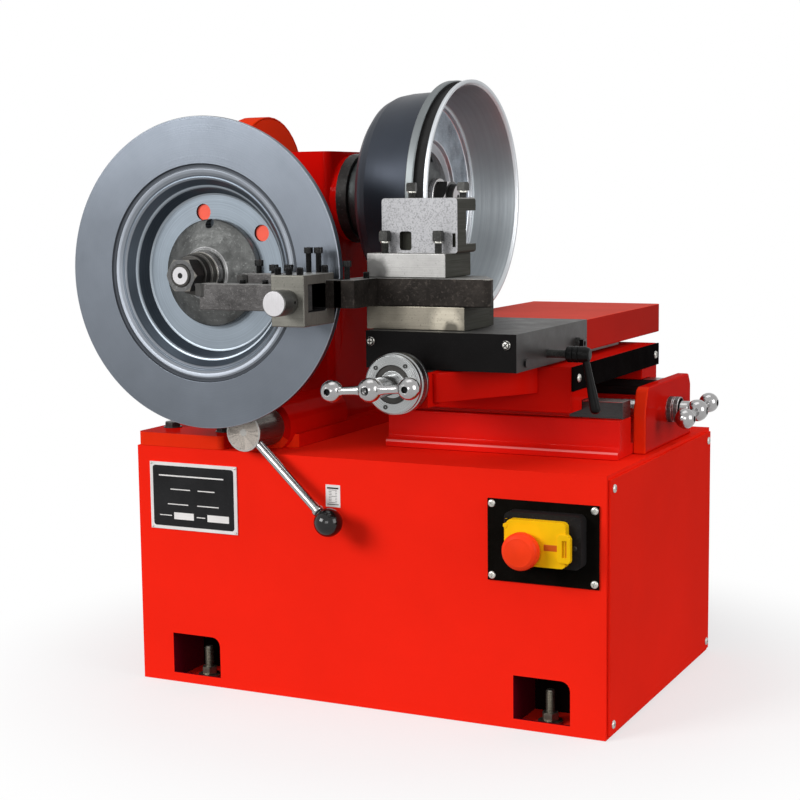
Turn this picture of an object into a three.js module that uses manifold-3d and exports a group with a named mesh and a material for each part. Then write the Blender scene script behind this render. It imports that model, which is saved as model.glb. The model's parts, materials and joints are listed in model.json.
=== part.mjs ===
// Bench brake lathe: a cabinet with motor and headstock, a disc spindle to the front, a drum spindle
// to the right, and a compound slide that carries a twin cutter and a tool post.
// Millimetres, +X right along the cabinet's front, +Y to its back, +Z up.
// The origin is the middle of the cabinet's footprint, on the floor.
import * as THREE from "three";
import { mergeVertices } from "three/addons/utils/BufferGeometryUtils.js";
import Module from "manifold-3d";

const wasm = await Module();
wasm.setup();

// Facets round a circle
const wheelSides = 48;
const roundSides = 24;
const smallSides = 12;
const screwSides = 8;
const archSteps = 10;
const cornerSteps = 2;

// Fits
const gap = 0.3;
const overrun = 20;
const weldTolerance = 1e-4;

// Cabinet
const cabinetWidth = 560;
const cabinetDepth = 370;
const cabinetHeight = 270;
const sheet = 3;
const coverSheet = 2.7;
const sideFlange = 26;
const coverInset = 4;
const windowWidth = 62;
const windowHeight = 46;
const windowSill = 10.5;
const windowInset = 72;
const windowCorner = 10;
const pocketDepth = 62;
const anchorInset = 26;
const anchorRadius = 6;
const anchorHeight = 38;
const washerRadius = 13;
const washerThickness = 2.4;
const nutRadius = 10.5;
const nutHeight = 10;
const coverScrewInset = 14;
const screwRadius = 4.5;
const screwHeight = 2.2;
const nameplateInset = 16.7;
const nameplateWidth = 114;
const nameplateDrop = 93.5;
const nameplateHeight = 76.3;
const nameplateThickness = 1.5;
const nameplateCorner = 3;

// Disc spindle, along Y
const discAxisInset = 83;
const discAxisRise = 196;
const discRadius = 167;
const discFaceY = -218;
const discThickness = 10;
const hatOuterRadius = 106;
const hatStepRadius = 97;
const hatInnerRadius = 84;
const hatStepDepth = 9;
const hatDepth = 28;
const hatThickness = 7;
const discGrooveDepth = 1.6;
const discGrooveWidth = 3;
const boltHoleCount = 5;
const boltHoleRadius = 7.5;
const boltCircleRadius = 68;
const firstBoltAngle = 102;
const frontBellRadius = 58;
const frontBellRim = 7;
const frontBellDepth = 22;
const bellWall = 8;
const bellNoseRadius = 27;
const discSpacerRadius = 24;
const discSpacerLength = 23.7;
const discNutRadius = 19;
const discNutLength = 17;
const discArborRadius = 12;
const arborProud = 6;
const centreHoleRadius = 2.6;
const centreHoleDepth = 7;
const backBellRadius = 56;
const backBellDepth = 24;
const discFlangeRadius = 50;
const discFlangeLength = 12;
const discSpindleRadius = 24;
const discSleeveRadius = 46;
const discSleeveLength = 114;
const discBearingRadius = 38;
const discBearingLength = 20;
const rearBearingRadius = 30;
const rearSpindleRadius = 18;
const rearBearingLength = 18;

// Gears between the spindles and the input shaft
const discGearRadius = 38;
const discGearLength = 24;
const gearTeeth = 22;
const toothDepth = 3.2;
const spurGearRadius = 39.7;
const pinionRadius = 9.6;
const pinionTeeth = 10;
const pinionToothDepth = 1.8;
const spurLength = 20;
const gearHubLength = 18;
const gearHubRadius = 30;

// Drum spindle, along X
const drumAxisY = 28;
const drumAxisRise = 77.5;
const drumRimReach = 161;
const drumRadius = 132;
const drumLipWidth = 5;
const drumGrooveWidth = 5;
const drumGrooveDepth = 6;
const drumRearLipDrop = 2;
const drumBodyRadius = 124;
const drumBackRadius = 114;
const drumBoreRadius = 113;
const drumStepRadius = 104;
const drumStepDepth = 8;
const drumDepth = 73;
const drumWebThickness = 8;
const drumArborRadius = 15;
const drumSpindleRadius = 20;
const drumFlangeRadius = 52;
const drumFlangeLength = 13;
const drumBellRadius = 66;
const drumBellNoseRadius = 48;
const drumPlateRadius = 52;
const drumPlateRim = 6;
const drumPlateDepth = 14;
const drumSpacerRadius = 24;
const drumSpacerLength = 24;
const drumNutRadius = 24;
const drumNutLength = 18;
const drumBearingRadius = 34;
const drumBearingLength = 18;

// Headstock casting
const gearboxInset = 30;
const gearboxWidth = 135;
const gearboxFront = -26;
const gearboxBack = 118;
const gearboxCrown = 54.5;
const gearboxWall = 12;
const gearboxFloorRise = 30;
const gearboxCorner = 10;
const footThickness = 15;
const footPadWidth = 82;
const footRightProud = 17;
const footFront = -140;
const footBack = 150;
const footCorner = 8;
const footBoltInset = 18;
const footBoltRadius = 8;
const footBoltHeight = 6;
const spindleBossRadius = 50;
const spindleBossLength = 7;
const bearingBossRadius = 46;
const bearingBossLength = 24;
const backCoverThickness = 8;
const backCoverScrews = 6;
const backCoverScrewRadius = 5;
const backCoverScrewHeight = 4;

// Belt drive
const inputAxisY = 74;
const beltPlaneInset = 16;
const pulleyWidth = 20;
const inputPulleyRadius = 70;
const motorPulleyRadius = 24;
const grooveDepth = 8;
const grooveTopWidth = 13;
const grooveBottomWidth = 10;
const beltWidth = 8;
const beltThickness = 8;
const inputShaftRadius = 11;
const motorShaftRadius = 9;
const guardRadius = 82;
const guardWall = 2;
const motorAxisDrop = 130;
const motorRadius = 62;
const motorInset = 42;
const motorLength = 176;
const motorFins = 20;
const finDepth = 5;
const motorEndRadius = 60;
const motorEndLength = 14;
const cowlRadius = 66;
const cowlLength = 34;
const terminalWidth = 70;
const terminalDepth = 60;
const terminalHeight = 26;
const motorFootWidth = 130;
const motorFootLength = 26;
const motorFootThickness = 10;
const motorFootSpacing = 96;
const motorFootDrop = 78;
const railWidth = 34;

// Shift lever, on a shaft along Y
const leverInset = 121;
const leverRise = 24.5;
const leverShaftRadius = 21;
const leverShaftProud = 18;
const leverBossRadius = 29;
const leverBossFront = -150;
const leverJournalRadius = 12;
const leverJournalEnd = -40;
const leverRodRadius = 4.5;
const leverRodRoot = 12;
const leverReachX = 107;
const leverReachY = 22;
const leverDropZ = 88.5;
const leverBallRadius = 13;
const leverBallFlat = 8;

// Slide bed, ways and end bracket
const bedSetback = 102;
const bedLength = 269.7;
const bedFront = -92;
const bedBack = 176;
const bedRise = 41;
const bedFlangeHeight = 8;
const bedFlangeProud = 8;
const bedFlangeSlope = 10;
const bedWall = 36;
const bedFloor = 12;
const bedEndWall = 18;
const screwBossRadius = 18;
const wayFront = -76;
const wayWidth = 26;
const wayHeight = 18.4;
const waySpacing = 210;
const wayWeb = 14;
const bracketThickness = 14;
const bracketFront = -42;
const bracketBack = 126;
const bracketRise = 30;
const bracketBrow = 24;
const bracketBrowSlope = 8;
const bracketChamfer = 6;
const feedAxisY = 42;
const feedAxisDrop = 2;
const feedScrewRadius = 9;
const feedScrewEndRadius = 7;
const collarRadius = 14;
const collarLength = 6;
const collarCount = 2;
const collarPitch = 7;
const feedCrankReach = 46.3;

// Three ball cranks
const ballRadius = 11;
const hubBallRadius = 12;
const crankArmRadius = 4.6;
const feedCrankThrow = 46;
const crossCrankThrow = 42;
const crankNeckRadius = 10;
const crankTilt = 4;

// Saddle
const saddleSetback = 15;
const saddleWidth = 210;
const saddleFront = -110;
const saddleBack = 185;
const saddleRoof = 25.5;
const saddleSkirtRise = 9;
const tunnelRise = 13.6;
const wayFootWidth = 32;
const feedNutWidth = 30;
const feedNutInset = 90;
const feedNutDrop = 14;
const sidePlateThickness = 2.5;
const sidePlateScrewInset = 15;
const crossAxisInset = 76;
const crossAxisDrop = 7.5;
const crossScrewRadius = 7;
const crossScrewEnd = 114;
const channelWidth = 32;
const channelDepth = 18.5;
const channelEnd = 150;
const armWidth = 56;
const armDepth = 32.5;
const armProud = 2;
const armFlangeRadius = 30;
const armFlangeThickness = 6;
const armFront = -234;
const armCorner = 10;

// Dial and cross crank
const dialRadius = 28;
const dialLength = 21;
const dialStep = 2.5;
const dialRimLength = 7;
const crossCrankY = -306;
const crossScrewFront = -280;

// Cross slide
const slideInset = 21;
const slideWidth = 167;
const slideFront = -206;
const slideBack = 265;
const slideHeight = 41;
const slideSkirtRise = 2.5;
const coverWall = 2.5;
const coverSplit = 0;
const castingInset = 1.2;
const castingBack = 120;
const rearSkirtRise = 6.5;
const keyInset = 24;
const keyFront = -84;
const crossNutWidth = 28;
const crossNutLength = 30;
const crossNutY = 20;
const crossNutDepth = 18;
const frontScrewInset = 11;
const sideScrewY = -182;
const sideScrewDrop = 30.5;
const gibScrewY = -32;
const gibScrewDrop = 23.5;
const gibScrewLength = 9;

// Clamp lever, on a stud along X
const clampY = -119;
const clampDrop = 26.5;
const clampStudRadius = 4.5;
const clampStudRoot = 10;
const clampHubProud = 21;
const clampHubLength = 25;
const clampHubRadius = 8.5;
const clampArmDrop = 60;
const clampArmSplay = 12;
const clampArmRadius = 5.5;
const clampArmEndRadius = 7.5;

// Tool stack
const toolBlockOverhang = 7;
const toolBlockWidth = 111;
const toolBlockFront = -190;
const toolBlockDepth = 66;
const toolBlockRise = 24.5;
const twinBottomGap = 0.3;
const twinOverhang = 10;
const twinWidth = 149;
const twinFront = -192;
const twinBack = -130;
const twinHeight = 28.7;
const neckWidth = 24;
const forkWidth = 38;
const forkReach = 8;
const forkFront = -290;
const forkBack = -226;
const forkDrop = 16;
const forkRise = 36;
const windowFront = -281;
const windowBack = -244;
const windowDrop = 1.5;
const windowRise = 26;
const frontBarLength = 87;
const frontBarFront = -286;
const frontBarBack = -268;
const rearBarLength = 60;
const rearBarFront = -246;
const rearBarBack = -228;
const barDrop = 1;
const tongueInset = 6;
const tongueFront = -277;
const tongueBack = -262;
const bitWidth = 13;
const bitProud = 2;
const bitReach = 6;
const setScrewRadius = 3.4;
const setScrewHeight = 9;
const forkScrewCount = 3;
const barScrewCount = 3;
const plateScrewCount = 2;
const knobRadius = 13.5;
const knobLength = 26.7;
const knobScrewRadius = 4;
const knobScrewEnd = -270;
const knobRise = 9;
const postStepDepth = 18;
const postPlateInset = 1;
const postPlateWidth = 89;
const postPlateRise = 54;
const postBack = -134;
const postInset = 9;
const postWidth = 86;
const postHeight = 56;
const slotDepth = 24;
const slotLowRise = 8.5;
const slotHighRise = 42.5;
const postBoltRadius = 4;
const postBoltHead = 6.4;
const postBoltStem = 12;
const postBoltHeadHeight = 11;
const postBoltInset = 13;
const postBoltSpacing = 54;
const postCorner = 4;

// Switch
const switchPlateInset = 130;
const switchPlateWidth = 120;
const switchPlateDrop = 115;
const switchPlateHeight = 85;
const switchPlateThickness = 2;
const plateScrewInset = 8;
const switchBoxInset = 25;
const switchBoxWidth = 82;
const switchBoxRise = 22;
const switchBoxHeight = 54;
const switchBoxDepth = 16;
const switchBoxCorner = 6;
const flapInset = 6.5;
const flapWidth = 63;
const flapRise = 2.5;
const flapHeight = 46;
const flapDepth = 10;
const flapWall = 2;
const flapCorner = 5;
const barrelRadius = 2.2;
const barrelInset = 2.8;
const lugHeight = 5;
const lugSpread = 34;
const stopInset = 19.5;
const stopRise = 16.5;
const stopRadius = 19;
const stopStemRadius = 8;
const stopHeight = 14;
const stopTravelRoom = 4.5;
const startInset = 49.5;
const startRise = 22.5;
const startRadius = 7;
const startProud = 3.5;
const startDepth = 9;

// Shares of the sizes they follow
const bellShoulderShare = 0.72;
const domeShoulderShare = 0.6;
const drumBevelShare = 0.12;
const toothShares = [[0, 0], [0.4, 0], [0.55, 1], [0.85, 1]];
const crownShares = [[1, 0.4], [0.94, 0.64], [0.72, 0.85], [0.4, 0.964]];

// Places that follow from the sizes above
const cabinetLeft = -cabinetWidth / 2;
const cabinetRight = cabinetWidth / 2;
const cabinetFront = -cabinetDepth / 2;
const cabinetBack = cabinetDepth / 2;
const windowCentre = cabinetRight - windowInset;
const nameplateLeft = cabinetLeft + nameplateInset;
const nameplateBottom = cabinetHeight - nameplateDrop;
const gearboxLeft = cabinetLeft + gearboxInset;
const gearboxRight = gearboxLeft + gearboxWidth;
const gearboxFloor = cabinetHeight + gearboxFloorRise;
const discAxisX = gearboxLeft + discAxisInset;
const discAxisZ = cabinetHeight + discAxisRise;
const drumAxisZ = discAxisZ + drumAxisRise;
const gearboxTop = drumAxisZ + gearboxCrown;
const drumRimX = gearboxRight + drumRimReach;
const footPadRight = gearboxLeft + footPadWidth;
const footRight = gearboxRight + footRightProud;
const beltPlaneX = cabinetLeft + beltPlaneInset;
const guardLeft = cabinetLeft + gap;
const motorLeft = cabinetLeft + motorInset;
const motorRight = motorLeft + motorLength;
const motorAxisZ = cabinetHeight - motorAxisDrop;
const leverX = gearboxLeft + leverInset;
const leverZ = cabinetHeight + leverRise;
const leverShaftFront = cabinetFront - leverShaftProud;
const bedLeft = gearboxRight + bedSetback;
const bedRight = bedLeft + bedLength;
const bedTop = cabinetHeight + bedRise;
const bracketTop = bedTop + bracketRise;
const feedAxisZ = bedTop - feedAxisDrop;
const feedCrankX = bedRight + feedCrankReach;
const saddleLeft = bedLeft + saddleSetback;
const saddleRight = saddleLeft + saddleWidth;
const saddleSkirtBottom = bedTop + saddleSkirtRise;
const tunnelHeight = bedTop + wayHeight + tunnelRise;
const saddleTop = tunnelHeight + saddleRoof;
const feedNutLeft = saddleLeft + feedNutInset;
const crossAxisX = saddleLeft + crossAxisInset;
const crossAxisZ = saddleTop - crossAxisDrop;
const armFloor = saddleTop - armDepth;
const armTop = saddleTop + armProud;
const slideLeft = saddleLeft + slideInset;
const slideRight = slideLeft + slideWidth;
const slideTop = saddleTop + slideHeight;
const slideSkirt = saddleTop + slideSkirtRise;
const rearSkirt = saddleTop + rearSkirtRise;
const crossNutBottom = saddleTop - crossNutDepth;
const sideScrewZ = slideTop - sideScrewDrop;
const gibScrewZ = slideTop - gibScrewDrop;
const clampZ = slideTop - clampDrop;
const clampHubStart = slideRight + clampHubProud;
const clampHubEnd = clampHubStart + clampHubLength;
const toolBlockLeft = slideLeft - toolBlockOverhang;
const toolBlockTop = slideTop + toolBlockRise;
const twinLeft = toolBlockLeft - twinOverhang;
const twinRight = twinLeft + twinWidth;
const neckRight = twinLeft + neckWidth;
const forkRight = twinLeft - forkReach;
const forkLeft = forkRight - forkWidth;
const forkBottom = toolBlockTop - forkDrop;
const forkTop = toolBlockTop + forkRise;
const windowLow = toolBlockTop - windowDrop;
const windowHigh = toolBlockTop + windowRise;
const armBarLeft = forkLeft - frontBarLength;
const rearBarLeft = forkLeft - rearBarLength;
const barLow = toolBlockTop - barDrop;
const tongueRight = forkRight - tongueInset;
const knobZ = toolBlockTop + knobRise;
const postPlateLeft = toolBlockLeft + postPlateInset;
const postPlateTop = toolBlockTop + postPlateRise;
const postLeft = postPlateLeft + postInset;
const postTop = postPlateTop + postHeight;
const slotLow = postPlateTop + slotLowRise;
const slotHigh = postPlateTop + slotHighRise;
const switchPlateLeft = cabinetRight - switchPlateInset;
const switchPlateBottom = cabinetHeight - switchPlateDrop;
const switchBoxLeft = switchPlateLeft + switchBoxInset;
const switchBoxBottom = switchPlateBottom + switchBoxRise;
const flapLeft = switchBoxLeft + flapInset;
const flapBottom = switchBoxBottom + flapRise;
const stopX = flapLeft + stopInset;
const stopZ = flapBottom + stopRise;
const startX = flapLeft + startInset;
const startZ = flapBottom + startRise;
const coverBack = cabinetRight - coverSheet;
const shellRight = coverBack - gap;
const footBottom = cabinetHeight + gap;
const footTop = footBottom + footThickness;
const hatFaceY = discFaceY + hatDepth;
const hatRearY = hatFaceY + hatThickness;
const backBellFront = hatRearY + gap;
const backBellBack = backBellFront + backBellDepth;
const discFlangeFront = backBellBack + gap;
const discFlangeBack = discFlangeFront + discFlangeLength;
const frontBellBack = hatFaceY - gap;
const frontBellFront = frontBellBack - frontBellDepth;
const discSpacerBack = frontBellFront - gap;
const discNutBack = discSpacerBack - discSpacerLength - gap;
const discArborEnd = discNutBack - discNutLength - arborProud;
const sleeveFront = gearboxFront - discSleeveLength;
const backCoverFront = gearboxBack + gap;
const backCoverBack = backCoverFront + backCoverThickness;
const rearSpindleEnd = backCoverFront - gap;
const innerLeft = gearboxLeft + gearboxWall;
const innerRight = gearboxRight - gearboxWall;
const innerFront = gearboxFront + gearboxWall;
const innerTop = gearboxTop - gearboxWall;
const drumGearRadius = drumAxisZ - discAxisZ - discGearRadius - gap;
const pinionReach = spurGearRadius + pinionRadius + gap;
const inputAxisZ = drumAxisZ + Math.sqrt(pinionReach ** 2 - (inputAxisY - drumAxisY) ** 2);
const spurX = discAxisX - discGearLength / 2 - gearHubLength - spurLength / 2;
const bossFaceX = gearboxRight + spindleBossLength;
const drumFlangeLeft = bossFaceX + gap;
const drumFlangeRight = drumFlangeLeft + drumFlangeLength;
const drumBackX = drumRimX - drumDepth;
const drumBellLeft = drumFlangeRight + gap;
const drumBellRight = drumBackX - gap;
const drumPlateLeft = drumBackX + drumWebThickness + gap;
const drumPlateRight = drumPlateLeft + drumPlateDepth;
const drumSpacerLeft = drumPlateRight + gap;
const drumNutLeft = drumSpacerLeft + drumSpacerLength + gap;
const drumArborEnd = drumNutLeft + drumNutLength + arborProud;
const guardRight = gearboxLeft - gap;
const wayBottom = bedTop + gap;
const wayTop = wayBottom + wayHeight;
const rearWayFront = wayFront + waySpacing;
const saddleFootBottom = wayTop + gap;
const bracketLeft = bedRight + gap;
const bracketRight = bracketLeft + bracketThickness;
const collarsEnd = bracketRight + gap + (collarCount - 1) * collarPitch + collarLength;
const keyBottom = saddleTop + gap;
const toolBlockBottom = slideTop + gap;
const twinBottom = toolBlockTop + twinBottomGap;
const twinTop = twinBottom + twinHeight;
const postBottom = twinTop + gap;
const postFront = toolBlockFront + postStepDepth;
const switchPlateFront = cabinetFront - gap - switchPlateThickness;
const switchBoxBack = switchPlateFront - gap;
const switchBoxFront = switchBoxBack - switchBoxDepth;
const flapBack = switchBoxFront - gap;
const flapFront = flapBack - flapDepth;

// A geometry with only its places, shared corners merged, no collapsed faces, and faces pointing out
function weld(geometry) {
  const plain = geometry.clone();
  for (const name of Object.keys(plain.attributes)) {
    if (name !== "position") plain.deleteAttribute(name);
  }
  const merged = mergeVertices(plain, weldTolerance);
  const corners = merged.index.array;
  const place = merged.attributes.position;
  const kept = [];
  const a = new THREE.Vector3();
  const b = new THREE.Vector3();
  const c = new THREE.Vector3();
  let volume = 0;
  for (let i = 0; i < corners.length; i += 3) {
    const [p, q, r] = [corners[i], corners[i + 1], corners[i + 2]];
    if (p === q || q === r || r === p) continue;
    kept.push(p, q, r);
    a.fromBufferAttribute(place, p);
    b.fromBufferAttribute(place, q);
    c.fromBufferAttribute(place, r);
    volume += a.dot(b.cross(c));
  }
  if (volume < 0) kept.reverse();
  merged.setIndex(kept);
  return merged;
}

function toManifold(geometry) {
  const shape = weld(geometry);
  return new wasm.Manifold(
    new wasm.Mesh({
      numProp: 3,
      vertProperties: new Float32Array(shape.attributes.position.array),
      triVerts: new Uint32Array(shape.index.array),
    }),
  );
}

function fromManifold(solid) {
  const mesh = solid.getMesh();
  const geometry = new THREE.BufferGeometry();
  geometry.setAttribute("position", new THREE.BufferAttribute(new Float32Array(mesh.vertProperties), 3));
  geometry.setIndex(new THREE.BufferAttribute(new Uint32Array(mesh.triVerts), 1));
  return geometry;
}

function join(...shapes) {
  return fromManifold(shapes.map(toManifold).reduce((whole, next) => whole.add(next)));
}

function cut(shape, ...tools) {
  return fromManifold(tools.map(toManifold).reduce((rest, tool) => rest.subtract(tool), toManifold(shape)));
}

// A block between two opposite corners
function block(x0, x1, y0, y1, z0, z1) {
  const geometry = new THREE.BoxGeometry(x1 - x0, y1 - y0, z1 - z0);
  return geometry.translate((x0 + x1) / 2, (y0 + y1) / 2, (z0 + z1) / 2);
}

// Local X, Y and Z of a section that is drawn square to the named axis
const sectionFrames = {
  x: new THREE.Matrix4().makeBasis(
    new THREE.Vector3(0, 1, 0),
    new THREE.Vector3(0, 0, 1),
    new THREE.Vector3(1, 0, 0),
  ),
  y: new THREE.Matrix4().makeBasis(
    new THREE.Vector3(1, 0, 0),
    new THREE.Vector3(0, 0, 1),
    new THREE.Vector3(0, -1, 0),
  ),
  z: new THREE.Matrix4(),
};

// An outline of points or a Shape, drawn square to an axis and drawn out from one place on it to another
function prism(axis, outline, from, to, steps = cornerSteps) {
  const given = outline instanceof THREE.Shape;
  const shape = given ? outline : new THREE.Shape(outline.map(([u, v]) => new THREE.Vector2(u, v)));
  const options = { depth: to - from, bevelEnabled: false, curveSegments: steps };
  const geometry = new THREE.ExtrudeGeometry(shape, options);
  geometry.applyMatrix4(sectionFrames[axis]);
  const shift = { x: [from, 0, 0], y: [0, to, 0], z: [0, 0, from] }[axis];
  return geometry.translate(...shift);
}

// A profile of [radius, place along the axis] turned round an axis that passes through the point (u, v)
function turned(axis, profile, u, v, sides = roundSides) {
  const points = profile.map(([radius, along]) => new THREE.Vector2(radius, along));
  const geometry = new THREE.LatheGeometry(points, sides);
  if (axis === "x") geometry.rotateZ(-Math.PI / 2);
  if (axis === "z") geometry.rotateX(Math.PI / 2);
  const place = { x: [0, u, v], y: [u, 0, v], z: [u, v, 0] }[axis];
  return geometry.translate(...place);
}

// A round bar along an axis, from one place on it to another
function bar(axis, radius, from, to, u, v, sides = roundSides) {
  return turned(axis, [[0, from], [radius, from], [radius, to], [0, to]], u, v, sides);
}

// A tool for a round hole: its flats, not its corners, lie at the radius
function hole(axis, radius, from, to, u, v, sides = roundSides) {
  return bar(axis, radius / Math.cos(Math.PI / sides), from, to, u, v, sides);
}

// A ring: a bar with a bore
function ring(axis, outer, inner, from, to, u, v, sides = roundSides) {
  return turned(axis, [[inner, from], [outer, from], [outer, to], [inner, to], [inner, from]], u, v, sides);
}

function hexBar(axis, radius, from, to, u, v) {
  return bar(axis, radius, from, to, u, v, 6);
}

function ball(radius, x, y, z) {
  return new THREE.SphereGeometry(radius, smallSides, smallSides / 2).translate(x, y, z);
}

// A round rod between two points, which may taper
function rod(radius, from, to, endRadius = radius) {
  const start = new THREE.Vector3(...from);
  const way = new THREE.Vector3(...to).sub(start);
  const geometry = new THREE.CylinderGeometry(endRadius, radius, way.length(), smallSides);
  geometry.translate(0, way.length() / 2, 0);
  const turn = new THREE.Quaternion();
  turn.setFromUnitVectors(new THREE.Vector3(0, 1, 0), way.clone().normalize());
  return geometry.applyQuaternion(turn).translate(...from);
}

function roundedShape(u0, u1, v0, v1, radius) {
  const shape = new THREE.Shape();
  shape.absarc(u1 - radius, v1 - radius, radius, 0, Math.PI / 2, false);
  shape.absarc(u0 + radius, v1 - radius, radius, Math.PI / 2, Math.PI, false);
  shape.absarc(u0 + radius, v0 + radius, radius, Math.PI, Math.PI * 1.5, false);
  shape.absarc(u1 - radius, v0 + radius, radius, Math.PI * 1.5, Math.PI * 2, false);
  shape.closePath();
  return shape;
}

// The outline of a wheel with straight sided teeth inside its tip circle
function toothedOutline(radius, depth, teeth, u, v) {
  const points = [];
  for (let tooth = 0; tooth < teeth; tooth += 1) {
    for (const [share, sink] of toothShares) {
      const reach = radius - depth * sink;
      const angle = ((tooth + share) / teeth) * Math.PI * 2;
      points.push([u + reach * Math.cos(angle), v + reach * Math.sin(angle)]);
    }
  }
  return points;
}

// Two circles joined by their outer tangents, in the plane square to X
function beltOutline(growth) {
  const top = inputPulleyRadius - grooveDepth + growth;
  const low = motorPulleyRadius - grooveDepth + growth;
  const lean = Math.asin((top - low) / (inputAxisZ - motorAxisZ));
  const shape = new THREE.Shape();
  shape.absarc(inputAxisY, inputAxisZ, top, -lean, Math.PI + lean, false);
  shape.absarc(inputAxisY, motorAxisZ, low, Math.PI + lean, Math.PI * 2 - lean, false);
  shape.closePath();
  return shape;
}

const finishes = {
  redPaint: { color: 0xe01a10, roughness: 0.35, metalness: 0 },
  blackPaint: { color: 0x101010, roughness: 0.5, metalness: 0 },
  steel: { color: 0xa8a8a6, roughness: 0.35, metalness: 0.9 },
  darkIron: { color: 0x3a3a38, roughness: 0.6, metalness: 0.7 },
  turnedIron: { color: 0x8e97a3, roughness: 0.3, metalness: 0.85 },
  drumIron: { color: 0x3c4552, roughness: 0.45, metalness: 0.7 },
  chrome: { color: 0xd8d8d8, roughness: 0.1, metalness: 1 },
  yellowPlastic: { color: 0xf2b208, roughness: 0.4, metalness: 0 },
  redPlastic: { color: 0xe8401c, roughness: 0.35, metalness: 0 },
  greenPlastic: { color: 0x1c8c3c, roughness: 0.4, metalness: 0 },
  blackPlastic: { color: 0x141414, roughness: 0.35, metalness: 0 },
  motorPaint: { color: 0x4a5560, roughness: 0.5, metalness: 0.2 },
  rubber: { color: 0x181818, roughness: 0.85, metalness: 0 },
  bearingSteel: { color: 0xb8b8b8, roughness: 0.25, metalness: 1 },
};

const brakeLathe = new THREE.Group();

function add(name, geometry, finish) {
  const shape = weld(geometry);
  shape.computeVertexNormals();
  const mesh = new THREE.Mesh(shape, new THREE.MeshStandardMaterial(finishes[finish]));
  mesh.name = name;
  brakeLathe.add(mesh);
}

// A pan head screw that stands on a face; the axis is the face's normal
function screwHead(axis, base, height, u, v) {
  return bar(
    axis,
    screwRadius,
    Math.min(base, base + height),
    Math.max(base, base + height),
    u,
    v,
    screwSides,
  );
}

// Cabinet: a folded shell, open on the right under its cover, with a pocket behind each foot window
function windowShape(centre) {
  const left = centre - windowWidth / 2;
  const right = centre + windowWidth / 2;
  const top = windowSill + windowHeight;
  const shape = new THREE.Shape();
  shape.moveTo(left, windowSill);
  shape.lineTo(right, windowSill);
  shape.lineTo(right, top - windowCorner);
  shape.absarc(right - windowCorner, top - windowCorner, windowCorner, 0, Math.PI / 2, false);
  shape.lineTo(left, top);
  shape.closePath();
  return shape;
}

function footPocket(centre, grow, depth) {
  const left = centre - windowWidth / 2 - grow;
  const right = centre + windowWidth / 2 + grow;
  const floor = grow > 0 ? 0 : sheet;
  return block(
    left,
    right,
    cabinetFront,
    cabinetFront + depth + grow,
    floor,
    windowSill + windowHeight + grow,
  );
}

function baseCabinet() {
  const outer = block(cabinetLeft, shellRight, cabinetFront, cabinetBack, 0, cabinetHeight);
  const hollow = block(
    cabinetLeft + sheet,
    shellRight - sheet,
    cabinetFront + sheet,
    cabinetBack - sheet,
    sheet,
    cabinetHeight - sheet,
  );
  const doorway = block(
    shellRight - overrun,
    shellRight + overrun,
    cabinetFront + sideFlange,
    cabinetBack - sideFlange,
    sideFlange,
    cabinetHeight - sideFlange,
  );
  const beltSlot = block(
    beltPlaneX - pulleyWidth / 2,
    beltPlaneX + pulleyWidth / 2,
    inputAxisY - inputPulleyRadius,
    inputAxisY + inputPulleyRadius,
    cabinetHeight - overrun,
    cabinetHeight + overrun,
  );
  const centres = [-windowCentre, windowCentre];
  const railTop = motorAxisZ - motorFootDrop - gap;
  const middle = (motorLeft + motorRight) / 2;
  const rails = [-1, 1].map((side) => {
    const railX = middle + (side * motorFootSpacing) / 2;
    return cut(
      block(
        railX - railWidth / 2,
        railX + railWidth / 2,
        inputAxisY - motorFootWidth / 2,
        inputAxisY + motorFootWidth / 2,
        sheet / 2,
        railTop,
      ),
      block(
        railX - railWidth / 2 + sheet,
        railX + railWidth / 2 - sheet,
        inputAxisY - motorFootWidth / 2 - overrun,
        inputAxisY + motorFootWidth / 2 + overrun,
        -overrun,
        railTop - sheet,
      ),
    );
  });
  const floor = block(cabinetLeft, shellRight, cabinetFront, cabinetBack, 0, sheet);
  const cutFront = cabinetFront - overrun;
  const frontSheet = block(cabinetLeft, cabinetRight, cutFront, cabinetFront + sheet, 0, cabinetHeight);
  const shell = join(
    cut(outer, hollow, doorway, beltSlot),
    floor,
    ...rails,
    ...centres.map((centre) => footPocket(centre, sheet, pocketDepth)),
  );
  return cut(
    shell,
    ...centres.map((centre) => cut(footPocket(centre, 0, pocketDepth), frontSheet)),
    ...centres.map((centre) => prism("y", windowShape(centre), cutFront, cabinetFront + overrun)),
    ...centres.map((centre) =>
      hole("z", anchorRadius + gap, -overrun, overrun, centre, cabinetFront + anchorInset, smallSides),
    ),
  );
}

function sideCover() {
  const plate = block(
    coverBack,
    cabinetRight,
    cabinetFront + coverInset,
    cabinetBack - coverInset,
    coverInset,
    cabinetHeight - coverInset,
  );
  const heads = [];
  for (const y of [cabinetFront + coverScrewInset, cabinetBack - coverScrewInset]) {
    for (const z of [coverScrewInset, cabinetHeight - coverScrewInset]) {
      heads.push(bar("x", screwRadius, coverBack, cabinetRight + screwHeight, y, z, screwSides));
    }
  }
  return join(plate, ...heads);
}

function nameplate() {
  const right = nameplateLeft + nameplateWidth;
  const top = nameplateBottom + nameplateHeight;
  const outline = roundedShape(nameplateLeft, right, nameplateBottom, top, nameplateCorner);
  return prism("y", outline, cabinetFront - gap - nameplateThickness, cabinetFront - gap);
}

function anchorStud(centre) {
  const y = cabinetFront + anchorInset;
  const seat = sheet + gap;
  const nutSeat = seat + washerThickness;
  return join(
    bar("z", anchorRadius, 0, anchorHeight, centre, y, smallSides),
    bar("z", washerRadius, seat, nutSeat, centre, y, smallSides),
    hexBar("z", nutRadius, nutSeat - gap, nutSeat + nutHeight, centre, y),
  );
}

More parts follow.
